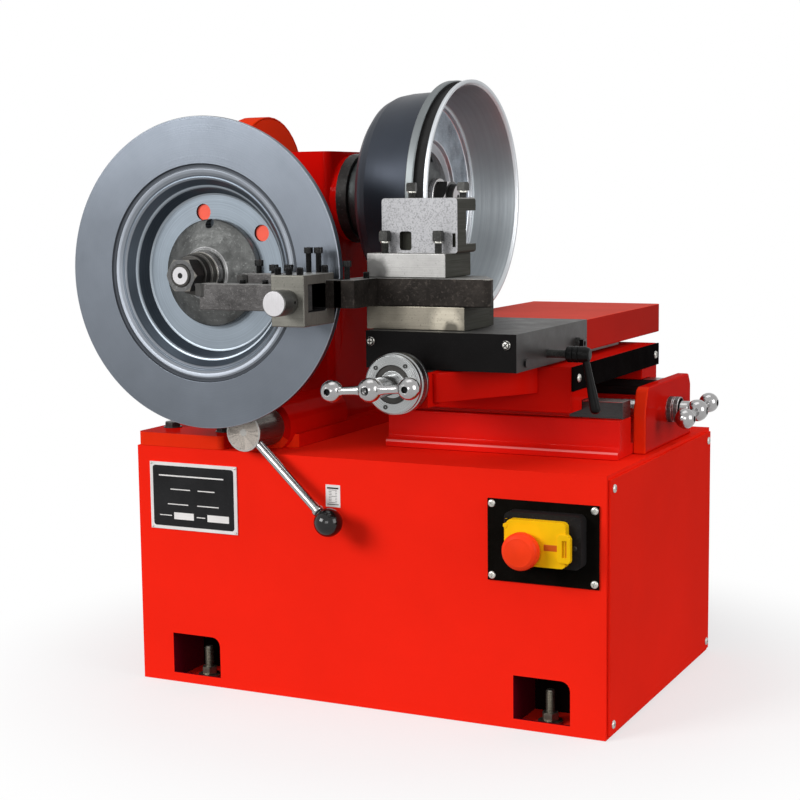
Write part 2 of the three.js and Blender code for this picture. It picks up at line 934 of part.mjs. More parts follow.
// Headstock: foot, gearbox shell open at the back, disc spindle sleeve and lever boss in one casting
function headstockCasting() {
  const pad = prism(
    "z",
    roundedShape(cabinetLeft, footPadRight, cabinetFront, footBack, footCorner),
    footBottom,
    footTop,
  );
  const foot = prism(
    "z",
    roundedShape(cabinetLeft, footRight, footFront, footBack, footCorner),
    footBottom,
    footTop,
  );
  const boltSpots = [
    [cabinetLeft + footBoltInset, footFront],
    [footPadRight - footBoltInset, cabinetFront + footBoltInset * 2],
    [footRight - footBoltInset, gearboxFront - footBoltInset * 2],
    [footRight - footBoltInset / 2 - gap, footBack - footBoltInset],
    [cabinetLeft + footBoltInset, footBack - footBoltInset],
  ];
  const headTop = footTop + footBoltHeight;
  const bolts = boltSpots.map(([x, y]) => hexBar("z", footBoltRadius, footTop - gap, headTop, x, y));
  const shell = prism(
    "z",
    roundedShape(gearboxLeft, gearboxRight, gearboxFront, gearboxBack, gearboxCorner),
    footBottom,
    gearboxTop,
  );
  const squareBack = block(
    gearboxLeft,
    gearboxRight,
    gearboxBack - gearboxCorner,
    gearboxBack,
    footBottom,
    gearboxTop,
  );
  const sleeve = bar("y", discSleeveRadius, sleeveFront, innerFront, discAxisX, discAxisZ);
  const drumBoss = bar("x", spindleBossRadius, innerRight, bossFaceX, drumAxisY, drumAxisZ);
  const innerBoss = bar(
    "x",
    bearingBossRadius,
    gearboxLeft,
    gearboxLeft + bearingBossLength,
    drumAxisY,
    drumAxisZ,
  );
  const leverBoss = cut(
    bar("y", leverBossRadius, leverBossFront, gearboxFront + gearboxCorner, leverX, leverZ),
    block(leverX - leverBossRadius, leverX + leverBossRadius, leverBossFront, gearboxBack, 0, footBottom),
  );
  const hollow = block(innerLeft, innerRight, innerFront, gearboxBack + overrun, gearboxFloor, innerTop);
  const body = cut(join(pad, foot, shell, squareBack, leverBoss), hollow);
  const beltSlot = block(
    beltPlaneX - pulleyWidth / 2,
    beltPlaneX + pulleyWidth / 2,
    inputAxisY - inputPulleyRadius,
    inputAxisY + inputPulleyRadius,
    cabinetHeight - overrun,
    footTop + overrun,
  );
  return cut(
    join(body, sleeve, drumBoss, innerBoss, ...bolts),
    hole("y", discSpindleRadius + gap, sleeveFront - overrun, innerFront + overrun, discAxisX, discAxisZ),
    hole(
      "y",
      discBearingRadius + gap,
      sleeveFront - overrun,
      sleeveFront + discBearingLength + gap,
      discAxisX,
      discAxisZ,
    ),
    hole("x", drumSpindleRadius + gap, gearboxLeft + sheet, bossFaceX + overrun, drumAxisY, drumAxisZ),
    hole(
      "x",
      drumBearingRadius + gap,
      bossFaceX - drumBearingLength - gap,
      bossFaceX + overrun,
      drumAxisY,
      drumAxisZ,
    ),
    hole(
      "x",
      drumBearingRadius + gap,
      gearboxLeft + bearingBossLength - drumBearingLength - gap,
      gearboxLeft + bearingBossLength + overrun,
      drumAxisY,
      drumAxisZ,
    ),
    hole(
      "x",
      inputShaftRadius + gap,
      gearboxLeft - overrun,
      innerRight + gearboxWall / 2,
      inputAxisY,
      inputAxisZ,
    ),
    hole(
      "y",
      leverJournalRadius + gap,
      leverBossFront - overrun,
      leverJournalEnd + gap,
      leverX,
      leverZ,
      smallSides,
    ),
    beltSlot,
  );
}

function gearboxCover() {
  const plate = block(
    gearboxLeft,
    gearboxRight,
    backCoverFront,
    backCoverBack,
    gearboxFloor - overrun / 2,
    gearboxTop,
  );
  const boss = bar(
    "y",
    rearBearingRadius + gearboxWall / 2,
    backCoverFront - rearBearingLength - gap * 2,
    backCoverFront + gap,
    discAxisX,
    discAxisZ,
  );
  const heads = [];
  for (let i = 0; i < backCoverScrews; i += 1) {
    const x = i % 2 === 0 ? gearboxLeft + gearboxWall / 2 : gearboxRight - gearboxWall / 2;
    const rows = backCoverScrews / 2 - 1;
    const low = gearboxFloor - gearboxWall / 2;
    const high = gearboxTop - gearboxWall / 2;
    const z = low + ((high - low) * Math.floor(i / 2)) / rows;
    heads.push(
      hexBar("y", backCoverScrewRadius, backCoverBack - gap, backCoverBack + backCoverScrewHeight, x, z),
    );
  }
  const bearingSeat = hole(
    "y",
    rearBearingRadius + gap,
    backCoverFront - rearBearingLength - overrun,
    backCoverFront,
    discAxisX,
    discAxisZ,
  );
  return cut(join(plate, boss, ...heads), bearingSeat);
}

// Belt guard: a round topped pan, open towards the gearbox and at its foot
function guardOutline(radius, foot) {
  const shape = new THREE.Shape();
  shape.moveTo(inputAxisY + radius, foot);
  shape.lineTo(inputAxisY + radius, inputAxisZ);
  shape.absarc(inputAxisY, inputAxisZ, radius, 0, Math.PI, false);
  shape.lineTo(inputAxisY - radius, foot);
  shape.closePath();
  return shape;
}

function beltGuard() {
  const outer = prism("x", guardOutline(guardRadius, footTop + gap), guardLeft, guardRight, archSteps);
  const inner = prism(
    "x",
    guardOutline(guardRadius - guardWall, footTop - overrun),
    guardLeft + guardWall,
    guardRight + overrun,
    archSteps,
  );
  return cut(outer, inner);
}

function pulley(radius, u, v, bore) {
  const left = beltPlaneX - pulleyWidth / 2;
  const right = beltPlaneX + pulleyWidth / 2;
  return turned(
    "x",
    [
      [bore, left],
      [radius, left],
      [radius, beltPlaneX - grooveTopWidth / 2],
      [radius - grooveDepth - gap, beltPlaneX - grooveBottomWidth / 2],
      [radius - grooveDepth - gap, beltPlaneX + grooveBottomWidth / 2],
      [radius, beltPlaneX + grooveTopWidth / 2],
      [radius, right],
      [bore, right],
      [bore, left],
    ],
    u,
    v,
  );
}

function belt() {
  const [left, right] = [beltPlaneX - beltWidth / 2, beltPlaneX + beltWidth / 2];
  const outer = prism("x", beltOutline(beltThickness), left, right, archSteps);
  const inner = prism("x", beltOutline(0), left - overrun, right + overrun, archSteps);
  return cut(outer, inner);
}

function motor() {
  const finned = prism(
    "x",
    toothedOutline(motorRadius, finDepth, motorFins, inputAxisY, motorAxisZ),
    motorLeft + motorEndLength,
    motorRight - cowlLength,
  );
  const driveEnd = bar(
    "x",
    motorEndRadius,
    motorLeft,
    motorLeft + motorEndLength + gap,
    inputAxisY,
    motorAxisZ,
  );
  const cowl = bar("x", cowlRadius, motorRight - cowlLength - gap, motorRight, inputAxisY, motorAxisZ);
  const middle = (motorLeft + motorRight) / 2;
  const terminal = block(
    middle - terminalWidth / 2,
    middle + terminalWidth / 2,
    inputAxisY - terminalDepth / 2,
    inputAxisY + terminalDepth / 2,
    motorAxisZ + motorRadius - finDepth * 2,
    motorAxisZ + motorRadius + terminalHeight,
  );
  const feet = [-1, 1].map((side) => {
    const x = middle + (side * motorFootSpacing) / 2;
    const low = motorAxisZ - motorFootDrop;
    return join(
      block(
        x - motorFootLength / 2,
        x + motorFootLength / 2,
        inputAxisY - motorFootWidth / 2,
        inputAxisY + motorFootWidth / 2,
        low,
        low + motorFootThickness,
      ),
      block(
        x - motorFootLength / 2,
        x + motorFootLength / 2,
        inputAxisY - motorFootWidth / 4,
        inputAxisY + motorFootWidth / 4,
        low + motorFootThickness / 2,
        motorAxisZ - motorRadius / 2,
      ),
    );
  });
  const bore = hole(
    "x",
    motorShaftRadius + gap,
    motorLeft - overrun,
    motorLeft + motorEndLength,
    inputAxisY,
    motorAxisZ,
  );
  return cut(join(finned, driveEnd, cowl, terminal, ...feet), bore);
}

function motorPulley() {
  const shaft = bar(
    "x",
    motorShaftRadius,
    beltPlaneX - pulleyWidth / 2,
    motorLeft + motorEndLength - gap,
    inputAxisY,
    motorAxisZ,
    smallSides,
  );
  return join(pulley(motorPulleyRadius, inputAxisY, motorAxisZ, motorShaftRadius - gap), shaft);
}

function inputShaft() {
  const end = innerRight + gearboxWall / 2 - gap;
  const plain = bar(
    "x",
    inputShaftRadius,
    beltPlaneX - pulleyWidth / 2,
    spurX - spurLength,
    inputAxisY,
    inputAxisZ,
  );
  const pinion = prism(
    "x",
    toothedOutline(pinionRadius, pinionToothDepth, pinionTeeth, inputAxisY, inputAxisZ),
    spurX - spurLength - gap,
    spurX + spurLength,
  );
  const tail = bar(
    "x",
    pinionRadius - pinionToothDepth,
    spurX + spurLength - gap,
    end,
    inputAxisY,
    inputAxisZ,
  );
  return join(plain, pinion, tail);
}

function drumGears() {
  const spur = prism(
    "x",
    toothedOutline(spurGearRadius, toothDepth, gearTeeth, drumAxisY, drumAxisZ),
    spurX - spurLength / 2,
    spurX + spurLength / 2,
  );
  const hub = bar(
    "x",
    gearHubRadius,
    spurX,
    discAxisX,
    drumAxisY,
    drumAxisZ,
  );
  const crossed = prism(
    "x",
    toothedOutline(drumGearRadius, toothDepth, gearTeeth, drumAxisY, drumAxisZ),
    discAxisX - discGearLength / 2,
    discAxisX + discGearLength / 2,
  );
  const bore = bar("x", drumSpindleRadius + gap, spurX - overrun, discAxisX + overrun, drumAxisY, drumAxisZ);
  return cut(join(spur, hub, crossed), bore);
}

function discGear() {
  const wheel = prism(
    "y",
    toothedOutline(discGearRadius, toothDepth, gearTeeth, discAxisX, discAxisZ),
    drumAxisY - discGearLength / 2,
    drumAxisY + discGearLength / 2,
  );
  const bore = bar(
    "y",
    discSpindleRadius + gap,
    drumAxisY - overrun,
    drumAxisY + overrun,
    discAxisX,
    discAxisZ,
  );
  return cut(wheel, bore);
}

// Spindles: stepped shafts with a flange, a long arbor and a centre hole in the end
function discSpindle() {
  return turned(
    "y",
    [
      [0, discArborEnd + centreHoleDepth],
      [centreHoleRadius, discArborEnd + centreHoleDepth / 2],
      [centreHoleRadius, discArborEnd],
      [discArborRadius - arborProud / 4, discArborEnd],
      [discArborRadius, discArborEnd + arborProud / 4],
      [discArborRadius, discFlangeFront],
      [discFlangeRadius, discFlangeFront],
      [discFlangeRadius, discFlangeBack],
      [discSpindleRadius, discFlangeBack],
      [discSpindleRadius, backCoverFront - rearBearingLength - gap * 2],
      [rearSpindleRadius, backCoverFront - rearBearingLength - gap * 2],
      [rearSpindleRadius, rearSpindleEnd],
      [0, rearSpindleEnd],
    ],
    discAxisX,
    discAxisZ,
  );
}

function drumSpindle() {
  return turned(
    "x",
    [
      [0, gearboxLeft + sheet + gap],
      [drumSpindleRadius, gearboxLeft + sheet + gap],
      [drumSpindleRadius, drumFlangeLeft],
      [drumFlangeRadius, drumFlangeLeft],
      [drumFlangeRadius, drumFlangeRight],
      [drumArborRadius, drumFlangeRight],
      [drumArborRadius, drumArborEnd - arborProud / 4],
      [drumArborRadius - arborProud / 4, drumArborEnd],
      [centreHoleRadius, drumArborEnd],
      [centreHoleRadius, drumArborEnd - centreHoleDepth / 2],
      [0, drumArborEnd - centreHoleDepth],
    ],
    drumAxisY,
    drumAxisZ,
  );
}

function discBackBell() {
  const bore = discArborRadius + gap;
  return turned(
    "y",
    [
      [backBellRadius - bellWall, backBellFront],
      [backBellRadius, backBellFront],
      [backBellRadius, backBellFront + frontBellRim],
      [backBellRadius * bellShoulderShare, backBellBack],
      [bore, backBellBack],
      [bore, backBellBack - bellWall],
      [backBellRadius * bellShoulderShare - bellWall, backBellBack - bellWall],
      [backBellRadius - bellWall, backBellFront],
    ],
    discAxisX,
    discAxisZ,
  );
}

function brakeDisc() {
  const back = discFaceY + discThickness;
  const disc = turned(
    "y",
    [
      [discArborRadius + gap, hatFaceY],
      [hatInnerRadius - hatThickness, hatFaceY],
      [hatInnerRadius, hatFaceY - hatThickness / 2],
      [hatInnerRadius + hatThickness / 2, discFaceY + hatStepDepth],
      [hatStepRadius, discFaceY + hatStepDepth],
      [hatStepRadius, discFaceY + hatStepDepth / 2],
      [hatOuterRadius, discFaceY + discGrooveDepth],
      [hatOuterRadius + discGrooveWidth, discFaceY + discGrooveDepth],
      [hatOuterRadius + discGrooveWidth, discFaceY],
      [discRadius, discFaceY],
      [discRadius, back],
      [hatOuterRadius, back],
      [hatInnerRadius + hatThickness, hatRearY],
      [discArborRadius + gap, hatRearY],
      [discArborRadius + gap, hatFaceY],
    ],
    discAxisX,
    discAxisZ,
    wheelSides,
  );
  const holes = [];
  for (let i = 0; i < boltHoleCount; i += 1) {
    const angle = THREE.MathUtils.degToRad(firstBoltAngle) + (i / boltHoleCount) * Math.PI * 2;
    const x = discAxisX + boltCircleRadius * Math.cos(angle);
    const z = discAxisZ + boltCircleRadius * Math.sin(angle);
    holes.push(bar("y", boltHoleRadius, hatFaceY - overrun, hatRearY + overrun, x, z, smallSides));
  }
  return cut(disc, ...holes);
}

function discFrontBell() {
  const bore = discArborRadius + gap;
  const bell = turned(
    "y",
    [
      [bore, frontBellFront + bellWall],
      [bore, frontBellFront],
      [bellNoseRadius, frontBellFront],
      [frontBellRadius * bellShoulderShare, frontBellFront + bellWall],
      [frontBellRadius, frontBellBack - frontBellRim],
      [frontBellRadius, frontBellBack],
      [frontBellRadius - bellWall, frontBellBack],
      [frontBellRadius * bellShoulderShare - bellWall / 2, frontBellFront + bellWall * 2],
      [bellNoseRadius, frontBellFront + bellWall],
      [bore, frontBellFront + bellWall],
    ],
    discAxisX,
    discAxisZ,
  );
  const notch = bar(
    "y",
    centreHoleRadius * 2,
    frontBellFront - overrun,
    frontBellBack + gap,
    discAxisX,
    discAxisZ + frontBellRadius - bellWall / 2,
    screwSides,
  );
  return cut(bell, notch);
}

function nut(axis, radius, bore, from, to, u, v) {
  return cut(
    hexBar(axis, radius, from, to, u, v),
    hole(axis, bore + gap, from - overrun, to + overrun, u, v),
  );
}

function drumBackBell() {
  const bore = drumArborRadius + gap;
  return turned(
    "x",
    [
      [bore, drumBellLeft],
      [drumBellNoseRadius, drumBellLeft],
      [drumBellNoseRadius, drumBellLeft + bellWall],
      [drumBellRadius, drumBellRight - bellWall * 2],
      [drumBellRadius, drumBellRight],
      [drumBellRadius - bellWall, drumBellRight],
      [drumBellNoseRadius - bellWall, drumBellLeft + bellWall * 2],
      [bore, drumBellLeft + bellWall * 2],
      [bore, drumBellLeft],
    ],
    drumAxisY,
    drumAxisZ,
  );
}

function brakeDrum() {
  const lipBack = drumRimX - drumLipWidth;
  const grooveBack = lipBack - drumGrooveWidth;
  const rearLipBack = grooveBack - drumLipWidth;
  const bore = drumArborRadius + gap;
  const bevel = drumDepth * drumBevelShare;
  const webFace = drumBackX + drumWebThickness;
  return turned(
    "x",
    [
      [bore, drumBackX],
      [drumBackRadius, drumBackX],
      [drumBodyRadius, drumBackX + bevel],
      [drumBodyRadius, rearLipBack],
      [drumRadius - drumRearLipDrop, rearLipBack],
      [drumRadius - drumRearLipDrop, grooveBack],
      [drumRadius - drumGrooveDepth, grooveBack],
      [drumRadius - drumGrooveDepth, lipBack],
      [drumRadius, lipBack],
      [drumRadius, drumRimX],
      [drumBoreRadius + drumLipWidth, drumRimX],
      [drumBoreRadius, drumRimX - drumLipWidth],
      [drumBoreRadius, webFace + drumStepDepth],
      [drumStepRadius, webFace + drumStepDepth],
      [drumStepRadius, webFace],
      [bore, webFace],
      [bore, drumBackX],
    ],
    drumAxisY,
    drumAxisZ,
    wheelSides,
  );
}

function drumClampPlate() {
  const bore = drumArborRadius + gap;
  const plate = turned(
    "x",
    [
      [bore, drumPlateLeft],
      [drumPlateRadius, drumPlateLeft],
      [drumPlateRadius, drumPlateLeft + drumPlateRim],
      [drumPlateRadius * domeShoulderShare, drumPlateRight],
      [bore, drumPlateRight],
      [bore, drumPlateLeft],
    ],
    drumAxisY,
    drumAxisZ,
  );
  const reach = drumPlateRadius - bellWall;
  const holes = [Math.PI / 2, Math.PI * 1.5].map((angle) =>
    bar(
      "x",
      centreHoleRadius * 1.5,
      drumPlateLeft - overrun,
      drumPlateRight + overrun,
      drumAxisY + reach * Math.cos(angle),
      drumAxisZ + reach * Math.sin(angle),
      screwSides,
    ),
  );
  return cut(plate, ...holes);
}

// Shift lever
const leverHubY = (leverShaftFront + cabinetFront) / 2;
const leverBall = [leverX + leverReachX, leverHubY - leverReachY, leverZ - leverDropZ];
const leverLength = Math.hypot(leverReachX, leverReachY, leverDropZ);
const leverWay = [leverReachX / leverLength, -leverReachY / leverLength, -leverDropZ / leverLength];

function alongLever(distance) {
  return [
    leverX + leverWay[0] * distance,
    leverHubY + leverWay[1] * distance,
    leverZ + leverWay[2] * distance,
  ];
}

function shiftShaft() {
  const shoulder = leverBossFront - gap;
  return cut(
    join(
      bar("y", leverShaftRadius, leverShaftFront, shoulder, leverX, leverZ),
      bar("y", leverJournalRadius, shoulder - gap, leverJournalEnd, leverX, leverZ, smallSides),
    ),
    rod(leverRodRadius + gap, alongLever(leverRodRoot - gap), alongLever(leverShaftRadius + overrun)),
  );
}

function shiftRod() {
  return rod(leverRodRadius, alongLever(leverRodRoot), alongLever(leverLength - leverBallFlat / 2));
}

function shiftKnob() {
  const socket = rod(
    leverRodRadius + gap,
    alongLever(leverLength - leverBallRadius * 2),
    alongLever(leverLength),
  );
  return cut(ball(leverBallRadius, ...leverBall), socket);
}

// Slide bed: two walls on a floor, with a wall at the left end that bears the feed screw
function slideBed() {
  const frontFace = bedFront + bedFlangeProud;
  const backFace = bedBack - bedFlangeProud;
  const flangeTop = footBottom + bedFlangeHeight;
  const wallFoot = flangeTop + bedFlangeSlope;
  const floorTop = footBottom + bedFloor;
  const outline = [
    [bedFront, footBottom],
    [bedFront, flangeTop],
    [frontFace, wallFoot],
    [frontFace, bedTop],
    [frontFace + bedWall, bedTop],
    [frontFace + bedWall, floorTop],
    [backFace - bedWall, floorTop],
    [backFace - bedWall, bedTop],
    [backFace, bedTop],
    [backFace, wallFoot],
    [bedBack, flangeTop],
    [bedBack, footBottom],
  ].reverse();
  const body = prism("x", outline, bedLeft, bedRight);
  const endWall = block(
    bedLeft,
    bedLeft + bedEndWall,
    frontFace + bedWall / 2,
    backFace - bedWall / 2,
    footBottom + bedFloor / 2,
    bedTop - gap,
  );
  const boss = bar("x", screwBossRadius, bedLeft, bedLeft + bedEndWall, feedAxisY, feedAxisZ, smallSides);
  const bore = hole(
    "x",
    feedScrewRadius + gap,
    bedLeft + bedEndWall / 2,
    bedLeft + bedEndWall + overrun,
    feedAxisY,
    feedAxisZ,
    smallSides,
  );
  return cut(join(body, endWall, boss), bore);
}

function bedWays() {
  const left = bedLeft + bedEndWall / 2;
  const front = block(left, bedRight, wayFront, wayFront + wayWidth, wayBottom, wayTop);
  const rear = block(left, bedRight, rearWayFront, rearWayFront + wayWidth, wayBottom, wayTop);
  const web = block(
    bedLeft + bedEndWall + gap,
    bedLeft + bedEndWall + wayWeb,
    wayFront + wayWidth / 2,
    rearWayFront + wayWidth / 2,
    wayBottom,
    wayTop,
  );
  const archTop = feedAxisZ + feedScrewRadius + gap * 4;
  const arch = block(
    bedLeft,
    bedLeft + bedEndWall + overrun,
    feedAxisY - feedScrewRadius * 2,
    feedAxisY + feedScrewRadius * 2,
    wayBottom - overrun,
    archTop,
  );
  return cut(join(front, rear, web), arch);
}

function endBracket() {
  const plate = prism(
    "x",
    [
      [bracketFront, footBottom],
      [bracketBack, footBottom],
      [bracketBack, bracketTop - bracketBrow / 2],
      [bracketBack - bracketBrowSlope, bracketTop],
      [bracketFront + bracketBrowSlope + bracketChamfer, bracketTop],
      [bracketFront + bracketBrowSlope, bracketTop - bracketChamfer / 2],
      [bracketFront, bracketTop - bracketBrow],
    ],
    bracketLeft,
    bracketRight,
  );
  const bore = hole(
    "x",
    feedScrewRadius + gap,
    bracketLeft - overrun,
    bracketRight + overrun,
    feedAxisY,
    feedAxisZ,
    smallSides,
  );
  return cut(plate, bore);
}

function feedScrew() {
  const shoulder = collarsEnd - gap;
  const pieces = [
    bar("x", feedScrewRadius, bedLeft + bedEndWall / 2 + gap, shoulder, feedAxisY, feedAxisZ, smallSides),
    bar("x", feedScrewEndRadius, shoulder - gap, feedCrankX - gap, feedAxisY, feedAxisZ, smallSides),
  ];
  for (let i = 0; i < collarCount; i += 1) {
    const start = bracketRight + gap + i * collarPitch;
    pieces.push(bar("x", collarRadius, start, start + collarLength, feedAxisY, feedAxisZ));
  }
  return join(...pieces);
}

// A crank of three balls in a row on one arm; turn is the arm's tilt about the screw
function threeBallCrank(throwLength, tilt) {
  const angle = THREE.MathUtils.degToRad(tilt);
  const [along, up] = [throwLength * Math.cos(angle), throwLength * Math.sin(angle)];
  return { along, up };
}

function feedCrank() {
  const { along, up } = threeBallCrank(feedCrankThrow, crankTilt);
  const neckStart = collarsEnd + gap;
  const low = [feedCrankX, feedAxisY - along, feedAxisZ - up];
  const high = [feedCrankX, feedAxisY + along, feedAxisZ + up];
  return cut(
    join(
      ball(hubBallRadius, feedCrankX, feedAxisY, feedAxisZ),
      bar("x", crankNeckRadius, neckStart, feedCrankX, feedAxisY, feedAxisZ, smallSides),
      rod(crankArmRadius, low, high),
      ball(ballRadius, ...low),
      ball(ballRadius, ...high),
    ),
    bar(
      "x",
      feedScrewEndRadius + gap,
      neckStart - overrun,
      feedCrankX,
      feedAxisY,
      feedAxisZ,
      smallSides,
    ),
  );
}

// Saddle: a bridge over both ways with a skirt before and behind, a feed nut under it and a channel on top
function saddle() {
  const frontWayEdge = wayFront - gap;
  const rearWayEdge = rearWayFront + wayWidth + gap;
  const outline = [
    [saddleFront, saddleSkirtBottom],
    [saddleFront, saddleTop],
    [saddleBack, saddleTop],
    [saddleBack, saddleSkirtBottom],
    [rearWayEdge, saddleSkirtBottom],
    [rearWayEdge, saddleFootBottom],
    [rearWayEdge - wayFootWidth, saddleFootBottom],
    [rearWayEdge - wayFootWidth, tunnelHeight],
    [frontWayEdge + wayFootWidth, tunnelHeight],
    [frontWayEdge + wayFootWidth, saddleFootBottom],
    [frontWayEdge, saddleFootBottom],
    [frontWayEdge, saddleSkirtBottom],
  ].reverse();
  const bridge = prism("x", outline, saddleLeft, saddleRight);
  const feedNut = block(
    feedNutLeft,
    feedNutLeft + feedNutWidth,
    feedAxisY - feedNutWidth / 2,
    feedAxisY + feedNutWidth / 2,
    feedAxisZ - feedNutDrop,
    tunnelHeight + gap,
  );
  const channel = block(
    crossAxisX - channelWidth / 2,
    crossAxisX + channelWidth / 2,
    saddleFront - overrun,
    channelEnd,
    saddleTop - channelDepth,
    saddleTop + overrun,
  );
  const feedBore = hole(
    "x",
    feedScrewRadius + gap,
    feedNutLeft - overrun,
    feedNutLeft + feedNutWidth + overrun,
    feedAxisY,
    feedAxisZ,
    smallSides,
  );
  return cut(join(bridge, feedNut), channel, feedBore);
}

function saddleSideCover() {
  const left = saddleRight + gap;
  const plate = block(left, left + sidePlateThickness, saddleFront, saddleBack, tunnelHeight, saddleTop);
  const z = (tunnelHeight + saddleTop) / 2;
  const heads = [saddleFront + sidePlateScrewInset, saddleBack - sidePlateScrewInset].map((y) =>
    bar("x", screwRadius, left, left + sidePlateThickness + screwHeight, y, z, screwSides),
  );
  return join(plate, ...heads);
}

// Cross bracket: an arm from the saddle's front face to the round flange behind the dial
function crossBracket() {
  const back = saddleFront - gap;
  const left = crossAxisX - armWidth / 2;
  const right = crossAxisX + armWidth / 2;
  const arm = block(left, right, armFront, back, armFloor, armTop);
  const flange = cut(
    bar("y", armFlangeRadius, armFront, armFront + armFlangeThickness, crossAxisX, crossAxisZ),
    block(left - overrun, right + overrun, armFront - overrun, back, armTop, armTop + overrun * 2),
  );
  const relief = prism(
    "x",
    [
      [armFront + armFlangeThickness * 2, armFloor - overrun],
      [back + overrun, armFloor - overrun],
      [back + overrun, armFloor + armCorner],
      [armFront + armFlangeThickness * 2, armFloor],
    ],
    left - overrun,
    right + overrun,
  );
  const bore = hole(
    "y",
    crossScrewRadius + gap,
    armFront - overrun,
    back + overrun,
    crossAxisX,
    crossAxisZ,
    smallSides,
  );
  return cut(join(arm, flange), relief, bore);
}

function crossScrew() {
  return bar("y", crossScrewRadius, crossScrewFront, crossScrewEnd, crossAxisX, crossAxisZ, smallSides);
}

function crossDial() {
  const back = armFront - gap;
  const front = back - dialLength;
  const bore = crossScrewRadius + gap;
  return turned(
    "y",
    [
      [bore, front],
      [dialRadius - dialStep * 2, front],
      [dialRadius - dialStep, front + dialStep],
      [dialRadius - dialStep, back - dialRimLength * 2],
      [dialRadius, back - dialRimLength * 2],
      [dialRadius, back - dialRimLength],
      [dialRadius - dialStep / 2, back - dialRimLength],
      [dialRadius - dialStep / 2, back],
      [bore, back],
      [bore, front],
    ],
    crossAxisX,
    crossAxisZ,
  );
}

function crossCrank() {
  const { along, up } = threeBallCrank(crossCrankThrow, crankTilt);
  const neckBack = armFront - gap * 2 - dialLength;
  const low = [crossAxisX - along, crossCrankY, crossAxisZ - up];
  const high = [crossAxisX + along, crossCrankY, crossAxisZ + up];
  return cut(
    join(
      ball(hubBallRadius, crossAxisX, crossCrankY, crossAxisZ),
      bar("y", crankNeckRadius, crossCrankY, neckBack, crossAxisX, crossAxisZ, smallSides),
      rod(crankArmRadius, low, high),
      ball(ballRadius, ...low),
      ball(ballRadius, ...high),
    ),
    bar(
      "y",
      crossScrewRadius + gap,
      crossScrewFront - gap,
      neckBack + overrun,
      crossAxisX,
      crossAxisZ,
      smallSides,
    ),
  );
}

// Cross slide: a casting under a black front cover and a red rear cover
const castingLeft = slideLeft + coverWall + castingInset;
const castingRight = slideRight - coverWall - castingInset;
const castingTop = slideTop - coverWall - gap;

function crossSlide() {
  const slab = block(
    castingLeft,
    castingRight,
    slideFront + coverWall + gap,
    castingBack,
    slideSkirt + gap,
    castingTop,
  );
  const key = block(
    castingLeft + keyInset,
    castingRight - keyInset,
    keyFront,
    castingBack,
    keyBottom,
    slideSkirt + gap * 2,
  );
  const screwNut = block(
    crossAxisX - crossNutWidth / 2,
    crossAxisX + crossNutWidth / 2,
    crossNutY,
    crossNutY + crossNutLength,
    crossNutBottom,
    slideSkirt + gap * 2,
  );
  const nutBore = hole(
    "y",
    crossScrewRadius + gap,
    crossNutY - overrun,
    crossNutY + crossNutLength + overrun,
    crossAxisX,
    crossAxisZ,
    smallSides,
  );
  const studHole = hole(
    "x",
    clampStudRadius + gap,
    castingRight - clampStudRoot - gap,
    castingRight + overrun,
    clampY,
    clampZ,
    smallSides,
  );
  return cut(join(slab, key, cut(screwNut, nutBore)), studHole);
}

function slideFrontCover() {
  const outer = block(slideLeft, slideRight, slideFront, coverSplit, slideSkirt, slideTop);
  const inner = block(
    slideLeft + coverWall,
    slideRight - coverWall,
    slideFront + coverWall,
    coverSplit + overrun,
    slideSkirt - overrun,
    slideTop - coverWall,
  );
  const frontScrews = [slideLeft + frontScrewInset / 2, slideRight - frontScrewInset].map((x) =>
    bar(
      "y",
      screwRadius,
      slideFront - screwHeight,
      slideFront + coverWall,
      x,
      slideTop - frontScrewInset,
      screwSides,
    ),
  );
  const sideScrew = bar(
    "x",
    screwRadius,
    slideRight - coverWall,
    slideRight + screwHeight,
    sideScrewY,
    sideScrewZ,
  );
  const gibScrew = join(
    bar(
      "x",
      screwRadius,
      slideRight - coverWall,
      slideRight + gibScrewLength,
      gibScrewY,
      gibScrewZ,
      screwSides,
    ),
    block(
      slideRight + gibScrewLength / 2,
      slideRight + gibScrewLength,
      gibScrewY - screwRadius,
      gibScrewY + screwRadius,
      gibScrewZ - screwRadius,
      gibScrewZ + screwRadius,
    ),
  );
  const studHole = hole(
    "x",
    clampStudRadius + gap,
    slideRight - overrun,
    slideRight + overrun,
    clampY,
    clampZ,
    smallSides,
  );
  return cut(join(cut(outer, inner), ...frontScrews, sideScrew, gibScrew), studHole);
}

function slideRearCover() {
  const front = coverSplit + gap;
  const outer = block(slideLeft, slideRight, front, slideBack, rearSkirt, slideTop);
  const inner = block(
    slideLeft + coverWall,
    slideRight - coverWall,
    front - overrun,
    slideBack - coverWall,
    rearSkirt - overrun,
    slideTop - coverWall,
  );
  return cut(outer, inner);
}

function clampLever() {
  const armTopX = clampHubEnd - clampArmRadius;
  return join(
    bar("x", clampStudRadius, castingRight - clampStudRoot, clampHubStart + gap, clampY, clampZ, smallSides),
    bar("x", clampHubRadius, clampHubStart, clampHubEnd, clampY, clampZ, smallSides),
    rod(
      clampArmRadius,
      [armTopX, clampY, clampZ],
      [armTopX + clampArmSplay, clampY, clampZ - clampArmDrop],
      clampArmEndRadius,
    ),
    ball(clampArmEndRadius, armTopX + clampArmSplay, clampY, clampZ - clampArmDrop),
  );
}

// Tool stack
function toolBaseBlock() {
  return block(
    toolBlockLeft,
    toolBlockLeft + toolBlockWidth,
    toolBlockFront,
    toolBlockFront + toolBlockDepth,
    toolBlockBottom,
    toolBlockTop,
  );
}

